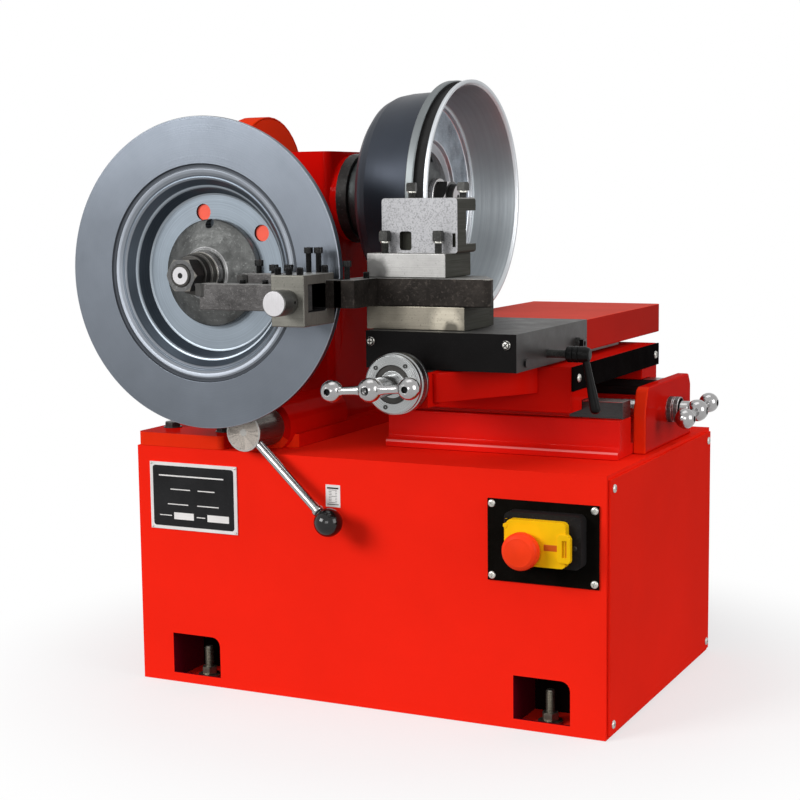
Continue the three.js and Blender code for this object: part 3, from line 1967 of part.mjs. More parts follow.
// A row of small set screws standing on a face, from one place to another along X
function screwRow(count, x0, x1, y, z) {
  const screws = [];
  for (let i = 0; i < count; i += 1) {
    const x = x0 + ((x1 - x0) * (i + 0.5)) / count;
    screws.push(bar("z", setScrewRadius, z - gap, z + setScrewHeight, x, y, screwSides));
  }
  return screws;
}

function twinCutterBody() {
  const plate = block(twinLeft, twinRight, twinFront, twinBack, twinBottom, twinTop);
  const neck = block(twinLeft, neckRight, windowBack, twinFront + overrun, twinBottom, twinTop);
  const bridge = block(
    forkRight - overrun,
    twinLeft + overrun / 2,
    windowBack,
    forkBack,
    twinBottom,
    twinTop,
  );
  const fork = block(forkLeft, forkRight, forkFront, forkBack, forkBottom, forkTop);
  const opening = block(
    forkLeft - overrun,
    forkRight + overrun,
    windowFront,
    windowBack,
    windowLow,
    windowHigh,
  );
  const knobX = (forkLeft + forkRight) / 2;
  const knobHole = hole(
    "y",
    knobScrewRadius + gap,
    forkFront - overrun,
    windowFront + gap,
    knobX,
    knobZ,
    smallSides,
  );
  const screws = [
    ...screwRow(forkScrewCount, forkLeft, forkRight, (forkFront + windowFront) / 2, forkTop),
    ...screwRow(plateScrewCount, forkLeft, forkRight, (windowBack + forkBack) / 2, forkTop),
  ];
  return cut(join(cut(fork, opening), bridge, neck, plate, ...screws), knobHole);
}

const barHigh = windowHigh;

// A cutting bit held across a bar's left end
function toolBit(left, front, back) {
  return block(
    left - bitReach,
    left + bitWidth - bitReach,
    front,
    back,
    barHigh - bitWidth - gap,
    barHigh - gap,
  );
}

function frontCutterArm() {
  const right = forkLeft - gap;
  const barBlock = block(armBarLeft, right, frontBarFront, frontBarBack, barLow, barHigh);
  const tongue = block(right - overrun, tongueRight, tongueFront, tongueBack, barLow, windowHigh - gap);
  const shoulder = block(right - overrun, right, frontBarFront, tongueBack, barLow, windowHigh - gap);
  const knobX = (forkLeft + forkRight) / 2;
  const boreEnd = knobScrewEnd + knobScrewRadius;
  const bore = hole("y", knobScrewRadius + gap, tongueFront - overrun, boreEnd, knobX, knobZ, smallSides);
  const screwY = (frontBarFront + frontBarBack) / 2;
  return cut(
    join(
      barBlock,
      tongue,
      shoulder,
      toolBit(armBarLeft, frontBarFront - bitProud, tongueBack),
      ...screwRow(barScrewCount, armBarLeft + bitWidth, right - overrun, screwY, barHigh),
    ),
    bore,
  );
}

function rearCutterArm() {
  const right = forkLeft - gap;
  const screwY = (rearBarFront + rearBarBack) / 2;
  return join(
    block(rearBarLeft, right, rearBarFront, rearBarBack, barLow, barHigh),
    toolBit(rearBarLeft, rearBarFront - bitProud * 2, rearBarBack),
    ...screwRow(barScrewCount, rearBarLeft + bitWidth, right, screwY, barHigh),
  );
}

function depthKnob() {
  const x = (forkLeft + forkRight) / 2;
  const back = forkFront - gap;
  return join(
    bar("y", knobRadius, back - knobLength, back, x, knobZ),
    bar("y", knobScrewRadius, back - gap, knobScrewEnd, x, knobZ, smallSides),
  );
}

// A bolt with a square head on a short stem
function squareBolt(x, y, z) {
  const headLow = z + postBoltStem;
  return join(
    bar("z", postBoltRadius, z - gap, headLow + gap, x, y, screwSides),
    block(
      x - postBoltHead,
      x + postBoltHead,
      y - postBoltHead,
      y + postBoltHead,
      headLow,
      headLow + postBoltHeadHeight,
    ),
  );
}

function toolPost() {
  const plate = block(
    postPlateLeft,
    postPlateLeft + postPlateWidth,
    toolBlockFront,
    postBack,
    postBottom,
    postPlateTop,
  );
  const upright = prism(
    "y",
    roundedShape(postLeft, postLeft + postWidth, postBottom, postTop, postCorner),
    postFront,
    postBack,
  );
  const slot = block(
    postLeft - overrun,
    postLeft + postWidth + overrun,
    postBack - slotDepth,
    postBack + overrun,
    slotLow,
    slotHigh,
  );
  const frontBoltY = toolBlockFront + postStepDepth / 2;
  const topBoltY = postBack - slotDepth / 2;
  const bolts = [
    squareBolt(postPlateLeft + postBoltInset + postBoltHead, frontBoltY, postPlateTop),
    squareBolt(postPlateLeft + postBoltInset + postBoltHead + postBoltSpacing, frontBoltY, postPlateTop),
    squareBolt(postLeft + postBoltInset, topBoltY, postTop),
    squareBolt(postLeft + postWidth - postBoltInset, topBoltY, postTop),
  ];
  return join(cut(join(plate, upright), slot), ...bolts);
}

// Switch: plate, box with hinge lugs, flap with its barrel, and the buttons
function switchPlate() {
  const back = cabinetFront - gap;
  const right = switchPlateLeft + switchPlateWidth;
  const top = switchPlateBottom + switchPlateHeight;
  const heads = [];
  for (const x of [switchPlateLeft + plateScrewInset, right - plateScrewInset]) {
    for (const z of [switchPlateBottom + plateScrewInset, top - plateScrewInset]) {
      heads.push(screwHead("y", switchPlateFront + gap, -screwHeight, x, z));
    }
  }
  return join(block(switchPlateLeft, right, switchPlateFront, back, switchPlateBottom, top), ...heads);
}

const barrelX = flapLeft - barrelInset;
const barrelY = flapBack - barrelRadius - gap;
const lugLow = flapBottom + (flapHeight - lugSpread) / 2;
const lugHigh = lugLow + lugSpread;

function switchBox() {
  const right = switchBoxLeft + switchBoxWidth;
  const top = switchBoxBottom + switchBoxHeight;
  const body = prism(
    "y",
    roundedShape(switchBoxLeft, right, switchBoxBottom, top, switchBoxCorner),
    switchBoxFront,
    switchBoxBack,
  );
  const lugs = [lugLow - lugHeight, lugHigh].map((z) =>
    join(
      bar("z", barrelRadius, z, z + lugHeight, barrelX, barrelY, smallSides),
      block(barrelX - barrelRadius, barrelX + barrelRadius, barrelY, switchBoxFront + gap, z, z + lugHeight),
    ),
  );
  const pinHole = hole(
    "z",
    barrelRadius / 2 + gap,
    lugLow - overrun,
    lugHigh + overrun,
    barrelX,
    barrelY,
    screwSides,
  );
  const buttonHole = hole(
    "y",
    startRadius + gap,
    switchBoxFront - overrun,
    switchBoxFront + startDepth + stopTravelRoom,
    startX,
    startZ,
    smallSides,
  );
  return cut(join(body, ...lugs), pinHole, buttonHole);
}

function switchFlap() {
  const right = flapLeft + flapWidth;
  const top = flapBottom + flapHeight;
  const shell = cut(
    prism("y", roundedShape(flapLeft, right, flapBottom, top, flapCorner), flapFront, flapBack),
    prism(
      "y",
      roundedShape(
        flapLeft + flapWall,
        right - flapWall,
        flapBottom + flapWall,
        top - flapWall,
        flapCorner - flapWall,
      ),
      flapFront + flapWall,
      flapBack + overrun,
    ),
  );
  const barrel = bar("z", barrelRadius, lugLow + gap, lugHigh - gap, barrelX, barrelY, smallSides);
  const leaf = block(
    barrelX,
    flapLeft + flapWall / 2,
    barrelY - barrelRadius,
    barrelY - barrelRadius + flapWall,
    lugLow + gap,
    lugHigh - gap,
  );
  const pin = bar(
    "z",
    barrelRadius / 2,
    lugLow - lugHeight,
    lugHigh + lugHeight,
    barrelX,
    barrelY,
    screwSides,
  );
  const stemHole = hole(
    "y",
    stopStemRadius + gap,
    flapFront - overrun,
    flapBack + overrun,
    stopX,
    stopZ,
    smallSides,
  );
  return cut(join(shell, barrel, leaf, pin), stemHole);
}

function stopButton() {
  const seat = flapFront - stopTravelRoom;
  const capBack = seat;
  const capFront = seat - stopHeight;
  const crown = crownShares.map(([out, up]) => [stopRadius * out, capBack - stopHeight * up]);
  const stemEnd = flapFront + flapWall + gap;
  const collar = stopStemRadius + flapWall;
  const profile = [
    [0, capFront],
    ...crown.reverse(),
    [stopRadius, capBack],
    [stopStemRadius, capBack],
    [stopStemRadius, stemEnd],
    [collar, stemEnd],
    [collar, stemEnd + flapWall],
    [0, stemEnd + flapWall],
  ];
  return turned("y", profile, stopX, stopZ);
}

function startButton() {
  return bar(
    "y",
    startRadius,
    switchBoxFront - startProud,
    switchBoxFront + startDepth,
    startX,
    startZ,
    smallSides,
  );
}

add("base_cabinet", baseCabinet(), "redPaint");
add("side_cover", sideCover(), "redPaint");
add("anchor_stud_left", anchorStud(-windowCentre), "steel");
add("anchor_stud_right", anchorStud(windowCentre), "steel");
add("nameplate", nameplate(), "steel");
add("switch_plate", switchPlate(), "blackPaint");
add("switch_box", switchBox(), "blackPlastic");
add("switch_flap", switchFlap(), "yellowPlastic");
add("stop_button", stopButton(), "redPlastic");
add("start_button", startButton(), "greenPlastic");
add("motor", motor(), "motorPaint");
add("motor_pulley", motorPulley(), "steel");
add("v_belt", belt(), "rubber");
add("input_pulley", pulley(inputPulleyRadius, inputAxisY, inputAxisZ, inputShaftRadius + gap), "steel");
add("input_shaft", inputShaft(), "steel");
add("belt_guard", beltGuard(), "redPaint");
add("headstock_casting", headstockCasting(), "redPaint");
add("gearbox_cover", gearboxCover(), "redPaint");
add("disc_spindle", discSpindle(), "steel");
add("drum_spindle", drumSpindle(), "steel");
add("drum_gears", drumGears(), "steel");
add("disc_gear", discGear(), "steel");
add(
  "disc_bearing_front",
  ring(
    "y",
    discBearingRadius,
    discSpindleRadius + gap,
    sleeveFront,
    sleeveFront + discBearingLength,
    discAxisX,
    discAxisZ,
  ),
  "bearingSteel",
);
add(
  "disc_bearing_rear",
  ring(
    "y",
    rearBearingRadius,
    rearSpindleRadius + gap,
    backCoverFront - rearBearingLength - gap,
    backCoverFront - gap,
    discAxisX,
    discAxisZ,
  ),
  "bearingSteel",
);
add(
  "drum_bearing_left",
  ring(
    "x",
    drumBearingRadius,
    drumSpindleRadius + gap,
    gearboxLeft + bearingBossLength - drumBearingLength,
    gearboxLeft + bearingBossLength,
    drumAxisY,
    drumAxisZ,
  ),
  "bearingSteel",
);
add(
  "drum_bearing_right",
  ring(
    "x",
    drumBearingRadius,
    drumSpindleRadius + gap,
    bossFaceX - drumBearingLength,
    bossFaceX,
    drumAxisY,
    drumAxisZ,
  ),
  "bearingSteel",
);
add("disc_back_bell", discBackBell(), "darkIron");
add("brake_disc", brakeDisc(), "turnedIron");
add("disc_front_bell", discFrontBell(), "darkIron");
add(
  "disc_spacer",
  ring(
    "y",
    discSpacerRadius,
    discArborRadius + gap,
    discSpacerBack - discSpacerLength,
    discSpacerBack,
    discAxisX,
    discAxisZ,
  ),
  "steel",
);
add(
  "disc_nut",
  nut("y", discNutRadius, discArborRadius, discNutBack - discNutLength, discNutBack, discAxisX, discAxisZ),
  "darkIron",
);
add("drum_back_bell", drumBackBell(), "darkIron");
add("brake_drum", brakeDrum(), "drumIron");
add("drum_clamp_plate", drumClampPlate(), "darkIron");
add(
  "drum_spacer",
  ring(
    "x",
    drumSpacerRadius,
    drumArborRadius + gap,
    drumSpacerLeft,
    drumSpacerLeft + drumSpacerLength,
    drumAxisY,
    drumAxisZ,
  ),
  "steel",
);
add(
  "drum_nut",
  nut("x", drumNutRadius, drumArborRadius, drumNutLeft, drumNutLeft + drumNutLength, drumAxisY, drumAxisZ),
  "steel",
);
add("shift_shaft", shiftShaft(), "steel");
add("shift_rod", shiftRod(), "chrome");
add("shift_knob", shiftKnob(), "blackPlastic");
add("slide_bed", slideBed(), "redPaint");
add("bed_ways", bedWays(), "steel");
add("end_bracket", endBracket(), "redPaint");
add("feed_screw", feedScrew(), "steel");
add("feed_crank", feedCrank(), "chrome");
add("saddle", saddle(), "redPaint");
add("saddle_side_cover", saddleSideCover(), "blackPaint");
add("cross_bracket", crossBracket(), "redPaint");
add("cross_screw", crossScrew(), "steel");
add("cross_dial", crossDial(), "chrome");
add("cross_crank", crossCrank(), "chrome");
add("cross_slide", crossSlide(), "darkIron");
add("slide_front_cover", slideFrontCover(), "blackPaint");
add("slide_rear_cover", slideRearCover(), "redPaint");
add("clamp_lever", clampLever(), "blackPlastic");
add("tool_base_block", toolBaseBlock(), "steel");
add("twin_cutter_body", twinCutterBody(), "darkIron");
add("front_cutter_arm", frontCutterArm(), "darkIron");
add("rear_cutter_arm", rearCutterArm(), "darkIron");
add("depth_knob", depthKnob(), "steel");
add("tool_post", toolPost(), "steel");

export default brakeLathe;
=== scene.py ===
"""A bench brake lathe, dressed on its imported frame. Sizes are in millimetres until a piece is made."""
import json
import math
from functools import partial

import bmesh
import bpy
from mathutils import Matrix, Vector

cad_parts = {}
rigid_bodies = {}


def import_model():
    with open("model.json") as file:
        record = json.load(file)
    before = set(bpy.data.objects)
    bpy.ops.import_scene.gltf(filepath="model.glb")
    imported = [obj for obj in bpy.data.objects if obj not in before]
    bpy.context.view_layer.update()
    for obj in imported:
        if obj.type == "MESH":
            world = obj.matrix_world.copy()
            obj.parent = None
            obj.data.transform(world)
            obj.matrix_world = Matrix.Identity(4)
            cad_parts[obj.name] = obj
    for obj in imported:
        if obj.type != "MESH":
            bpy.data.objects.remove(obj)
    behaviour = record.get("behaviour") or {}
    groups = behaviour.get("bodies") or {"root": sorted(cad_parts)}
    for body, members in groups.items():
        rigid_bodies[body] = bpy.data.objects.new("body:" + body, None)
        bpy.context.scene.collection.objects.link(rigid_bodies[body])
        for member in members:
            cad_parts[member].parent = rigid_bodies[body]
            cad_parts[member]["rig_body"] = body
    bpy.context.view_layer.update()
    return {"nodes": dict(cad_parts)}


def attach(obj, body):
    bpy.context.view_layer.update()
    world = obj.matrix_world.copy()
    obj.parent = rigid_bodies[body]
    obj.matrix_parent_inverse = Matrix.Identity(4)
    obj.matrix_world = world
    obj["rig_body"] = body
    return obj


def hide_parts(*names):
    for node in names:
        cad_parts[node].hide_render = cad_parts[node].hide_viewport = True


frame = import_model()
nodes = frame["nodes"]
scene = bpy.context.scene
MM = 0.001
FAR = 9999
TINY = 1e-6
UP, RIGHT, BACK, FRONT = (0, 0, 1), (1, 0, 0), (0, 1, 0), (0, -1, 0)
SHARP_DEGREES = 32
WELD = 0.01
FLAT_DEGREES = 0.6
AXES = {"x": (1, 2, 0), "y": (0, 2, 1), "z": (0, 1, 2)}


def middle(name, axis):
    """Where an axis through the middle of a CAD node crosses the plane square to it."""
    low, high = nodes[name].bound_box[0], nodes[name].bound_box[6]
    return tuple(round((low[i] + high[i]) / 2 / MM, 1) for i in AXES[axis][:2])


DISC = middle("disc_spindle", "y")
DRUM = middle("drum_nut", "x")
LEVER = middle("shift_shaft", "y")
FEED = middle("feed_screw", "x")
CROSS = middle("cross_screw", "y")
KNOB = middle("depth_knob", "y")
STOP = middle("stop_button", "y")
STUDS = {side: middle("anchor_stud_" + side, "z") for side in ("left", "right")}

# Camera, fitted to the cabinet's corners in the photograph
YAW, PITCH, ROLL = (math.radians(degrees) for degrees in (26.09, 7.16, -0.65))
EYE = (0.8042, -1.7229, 0.5510)
FOCAL_PIXELS = 1660.2
PHOTO_PIXELS = 800
SENSOR = 36


def aim_camera():
    forward = Vector((-math.sin(YAW) * math.cos(PITCH), math.cos(YAW) * math.cos(PITCH), -math.sin(PITCH)))
    level = Vector((math.cos(YAW), math.sin(YAW), 0))
    upward = level.cross(forward)
    right = math.cos(ROLL) * level + math.sin(ROLL) * upward
    above = -math.sin(ROLL) * level + math.cos(ROLL) * upward
    lens = bpy.data.cameras.new("camera")
    lens.sensor_width = SENSOR
    lens.lens = SENSOR * FOCAL_PIXELS / PHOTO_PIXELS
    lens.clip_end = 60
    camera = bpy.data.objects.new("camera", lens)
    turn = Matrix((right, above, -forward)).transposed()
    camera.matrix_world = Matrix.Translation(EYE) @ turn.to_4x4()
    scene.collection.objects.link(camera)
    scene.camera = camera


aim_camera()
scene.view_settings.view_transform = "Standard"


# Materials
class Nodes:
    """The node tree of a material or a world, with short calls."""

    def __init__(self, owner, shader="Principled BSDF"):
        owner.use_nodes = True
        self.owner = owner
        self.tree = owner.node_tree
        self.shader = self.tree.nodes[shader]
        self.place = self.add("ShaderNodeTexCoord").outputs["Object"]

    def add(self, kind, inputs=(), **settings):
        node = self.tree.nodes.new(kind)
        for key, value in settings.items():
            setattr(node, key, value)
        return self.feed(node, inputs)

    def feed(self, node, inputs):
        """Links each input that comes from another node and sets the others."""
        for key, value in dict(inputs).items():
            socket = node.inputs[key]
            if isinstance(value, bpy.types.NodeSocket):
                self.tree.links.new(value, socket)
            else:
                socket.default_value = (*value, 1) if socket.type == "RGBA" else value
        return node

    def set(self, **values):
        self.feed(self.shader, {key.replace("_", " "): value for key, value in values.items()})

    def noise(self, scale, detail=3, rough=0.5, vector=None):
        inputs = {"Scale": scale, "Detail": detail, "Roughness": rough, "Vector": vector or self.place}
        return self.add("ShaderNodeTexNoise", inputs).outputs["Fac"]

    def ramp(self, source, stops):
        node = self.add("ShaderNodeValToRGB", {"Fac": source})
        for element, (at, colour) in zip(node.color_ramp.elements, stops):
            element.position = at
            element.color = (*colour, 1) if isinstance(colour, tuple) else (colour, colour, colour, 1)
        return node.outputs["Color"]

    def mottle(self, source, colour, low, high, start=0.3, end=0.7):
        return self.ramp(source, [(start, tint(colour, low)), (end, tint(colour, high))])

    def specks(self, scale, detail, start, end, rough=0.5):
        return self.ramp(self.noise(scale, detail, rough), [(start, 0.0), (end, 1.0)])

    def spread(self, source, low, high, start=0.3, end=0.7, **settings):
        inputs = {"From Min": start, "From Max": end, "To Min": low, "To Max": high, "Value": source}
        return self.add("ShaderNodeMapRange", inputs, **settings).outputs["Result"]

    def math(self, operation, *values):
        return self.add("ShaderNodeMath", enumerate(values), operation=operation).outputs[0]

    def blend(self, factor, a, b):
        """A mix of two colours; the node has sockets 0, 6 and 7 for the factor and the colours."""
        return self.add("ShaderNodeMix", {0: factor, 6: a, 7: b}, data_type="RGBA").outputs[2]

    def fleck(self, base, mask, share, colour):
        """Sets the base colour, with another colour on it where a mask is bright."""
        self.set(Base_Color=self.blend(self.math("MULTIPLY", mask, share), base, colour))

    def bump(self, height, strength, distance, below=None):
        inputs = {"Strength": strength, "Distance": distance, "Height": height}
        if below:
            inputs["Normal"] = below
        normal = self.add("ShaderNodeBump", inputs).outputs["Normal"]
        self.set(Normal=normal)
        return normal

    def ragged_patch(self, centre, radius):
        """One inside a ragged patch about a place, in mm, and zero outside it."""
        place = {0: self.place, 1: [c * MM for c in centre]}
        reach = self.add("ShaderNodeVectorMath", place, operation="DISTANCE").outputs["Value"]
        ragged = self.math("ADD", reach, self.math("MULTIPLY", self.noise(90, 4, 0.6), radius * MM * 0.7))
        return self.spread(ragged, 1, 0, radius * MM, radius * MM * 1.5)

    def rings(self, axis, u, v):
        """Distance in metres from an axis that passes through (u, v) mm."""
        place = self.add("ShaderNodeSeparateXYZ", {0: self.place}).outputs
        first, second, _ = AXES[axis]
        a = self.math("SUBTRACT", place[first], u * MM)
        b = self.math("SUBTRACT", place[second], v * MM)
        return self.math("SQRT", self.math("ADD", self.math("MULTIPLY", a, a), self.math("MULTIPLY", b, b)))


def tint(colour, factor):
    return tuple(min(1, channel * factor) for channel in colour)


def lifted(colour, amount):
    return tuple(channel + amount for channel in colour)


def paint(n, colour, rough=0.3, coat=0.02, peel=0.05, grime=0.12, cast=0.0, shine=0.0):
    """Paint with fine peel and faint grime, over the bumps of a casting where cast is set."""
    base = n.mottle(n.noise(6, 4, 0.6), colour, 1 - grime, 1 + grime * 0.4)
    n.fleck(base, n.specks(900, 1, 0.68, 0.76), 0.12, tint(colour, 0.45))
    n.set(Roughness=n.spread(n.noise(45, 3), rough - 0.06, rough + 0.09))
    n.set(Coat_Weight=coat, Coat_Roughness=0.12, Specular_IOR_Level=shine)
    below = n.bump(n.noise(130, 5, 0.65), cast, 0.0012) if cast else None
    n.bump(n.noise(340, 2), peel, 0.0004, below)


def satin(n, colour, rough=0.42, dust=0.05, shine=0.12):
    """A dark satin finish with a little pale dust."""
    mottled = n.noise(28, 6, 0.7)
    base = n.ramp(mottled, [(0.3, tint(colour, 0.7)), (0.72, lifted(colour, dust * 0.2))])
    n.fleck(base, n.specks(700, 0, 0.71, 0.79), 0.5, lifted(colour, dust))
    n.set(Roughness=n.spread(mottled, rough - 0.08, rough + 0.12), Specular_IOR_Level=shine)
    n.bump(n.noise(1100, 2), 0.12, 0.0004)


def ground(n, colour, rough=0.34, along="x", metal=1.0, stain=0.25, specks=0.5, streak=0.18, tone_patches=()):
    """Ground or milled steel: fine streaks along one axis, dark pits and faint stains."""
    stretched = {"Scale": [14 if axis == along else 900 for axis in "xyz"], "Vector": n.place}
    lines = n.noise(1, 3, 0.6, n.add("ShaderNodeMapping", stretched).outputs["Vector"])
    base = n.mottle(n.noise(22, 5, 0.65), colour, 1 - stain, 1.12, 0.28, 0.66)
    base = n.blend(n.spread(lines, 0, streak * 2), base, tint(colour, 0.6))
    # Each listed patch scales the colour by its factor, lighter above one and darker below
    for centre, radius, factor in tone_patches:
        base = n.blend(n.ragged_patch(centre, radius), base, tint(colour, factor))
    n.fleck(base, n.specks(520, 2, 0.62, 0.72), specks, tint(colour, 0.25))
    n.set(Metallic=metal, Specular_IOR_Level=0.15)
    n.set(Roughness=n.spread(lines, rough - 0.08, rough + 0.14))
    n.bump(lines, 0.22, 0.0003)


def cast_iron(n, colour, rough=0.52, light=2.6, metal=0.7, bump=0.5, scale=150):
    """Dark mottled iron with paler worn specks."""
    lumps = n.noise(scale, 5, 0.7)
    base = n.mottle(n.noise(38, 4, 0.6), colour, 0.6, 1.35, 0.32, 0.68)
    n.fleck(base, n.specks(scale * 2.2, 3, 0.56, 0.7, 0.7), 0.6, tint(colour, light))
    n.set(Metallic=metal, Specular_IOR_Level=0.15)
    n.set(Roughness=n.spread(lumps, rough - 0.12, rough + 0.16))
    n.bump(lumps, bump, 0.0012)


def turned(n, axis, centre, colour, rough=0.36, fine=900, shade=0.2, metal=1.0, anisotropic=0.5, bump=0.25):
    """Turned metal: rings about an axis in tone, roughness and height."""
    inputs = {"Scale": 1, "Detail": 5, "W": n.math("MULTIPLY", n.rings(axis, *centre), fine)}
    rings = n.add("ShaderNodeTexNoise", inputs, noise_dimensions="1D").outputs["Fac"]
    base = n.mottle(n.noise(9, 4, 0.6), colour, 0.86, 1.12)
    tangent = n.add("ShaderNodeTangent", direction_type="RADIAL", axis=axis.upper()).outputs[0]
    n.set(Base_Color=n.blend(n.spread(rings, 0, shade * 2), base, tint(colour, 0.62)), Tangent=tangent)
    n.set(Metallic=metal, Anisotropic=anisotropic, Specular_IOR_Level=0.2)
    n.set(Roughness=n.spread(rings, rough - 0.05, rough + 0.09))
    n.bump(rings, bump, 0.0002)


def speckled(n, colour, rough=0.46, metal=0.6):
    """Bead blasted steel: pale ground with dense fine dark grains."""
    cloud, grain = n.noise(26, 5, 0.65), n.noise(620, 3, 0.7)
    base = n.mottle(cloud, colour, 0.84, 1.1)
    n.fleck(base, n.ramp(grain, [(0.48, 0.0), (0.66, 1.0)]), 0.7, tint(colour, 0.35))
    n.set(Metallic=metal, Specular_IOR_Level=0.2, Roughness=n.spread(cloud, rough, rough + 0.14))
    n.bump(grain, 0.12, 0.0002)


def plastic(n, colour, rough=0.3, grain=0.06, coat=0.0, shine=0.15):
    """Moulded plastic with a faint grain."""
    n.set(Base_Color=n.mottle(n.noise(30, 3), colour, 0.88, 1.05))
    n.set(Roughness=n.spread(n.noise(160, 3), rough - 0.05, rough + 0.08))
    n.set(Coat_Weight=coat, Coat_Roughness=0.1, Specular_IOR_Level=shine)
    n.bump(n.noise(1500, 2), grain, 0.0002)


SHEET_RED = (0.95, 0.02, 0.008)
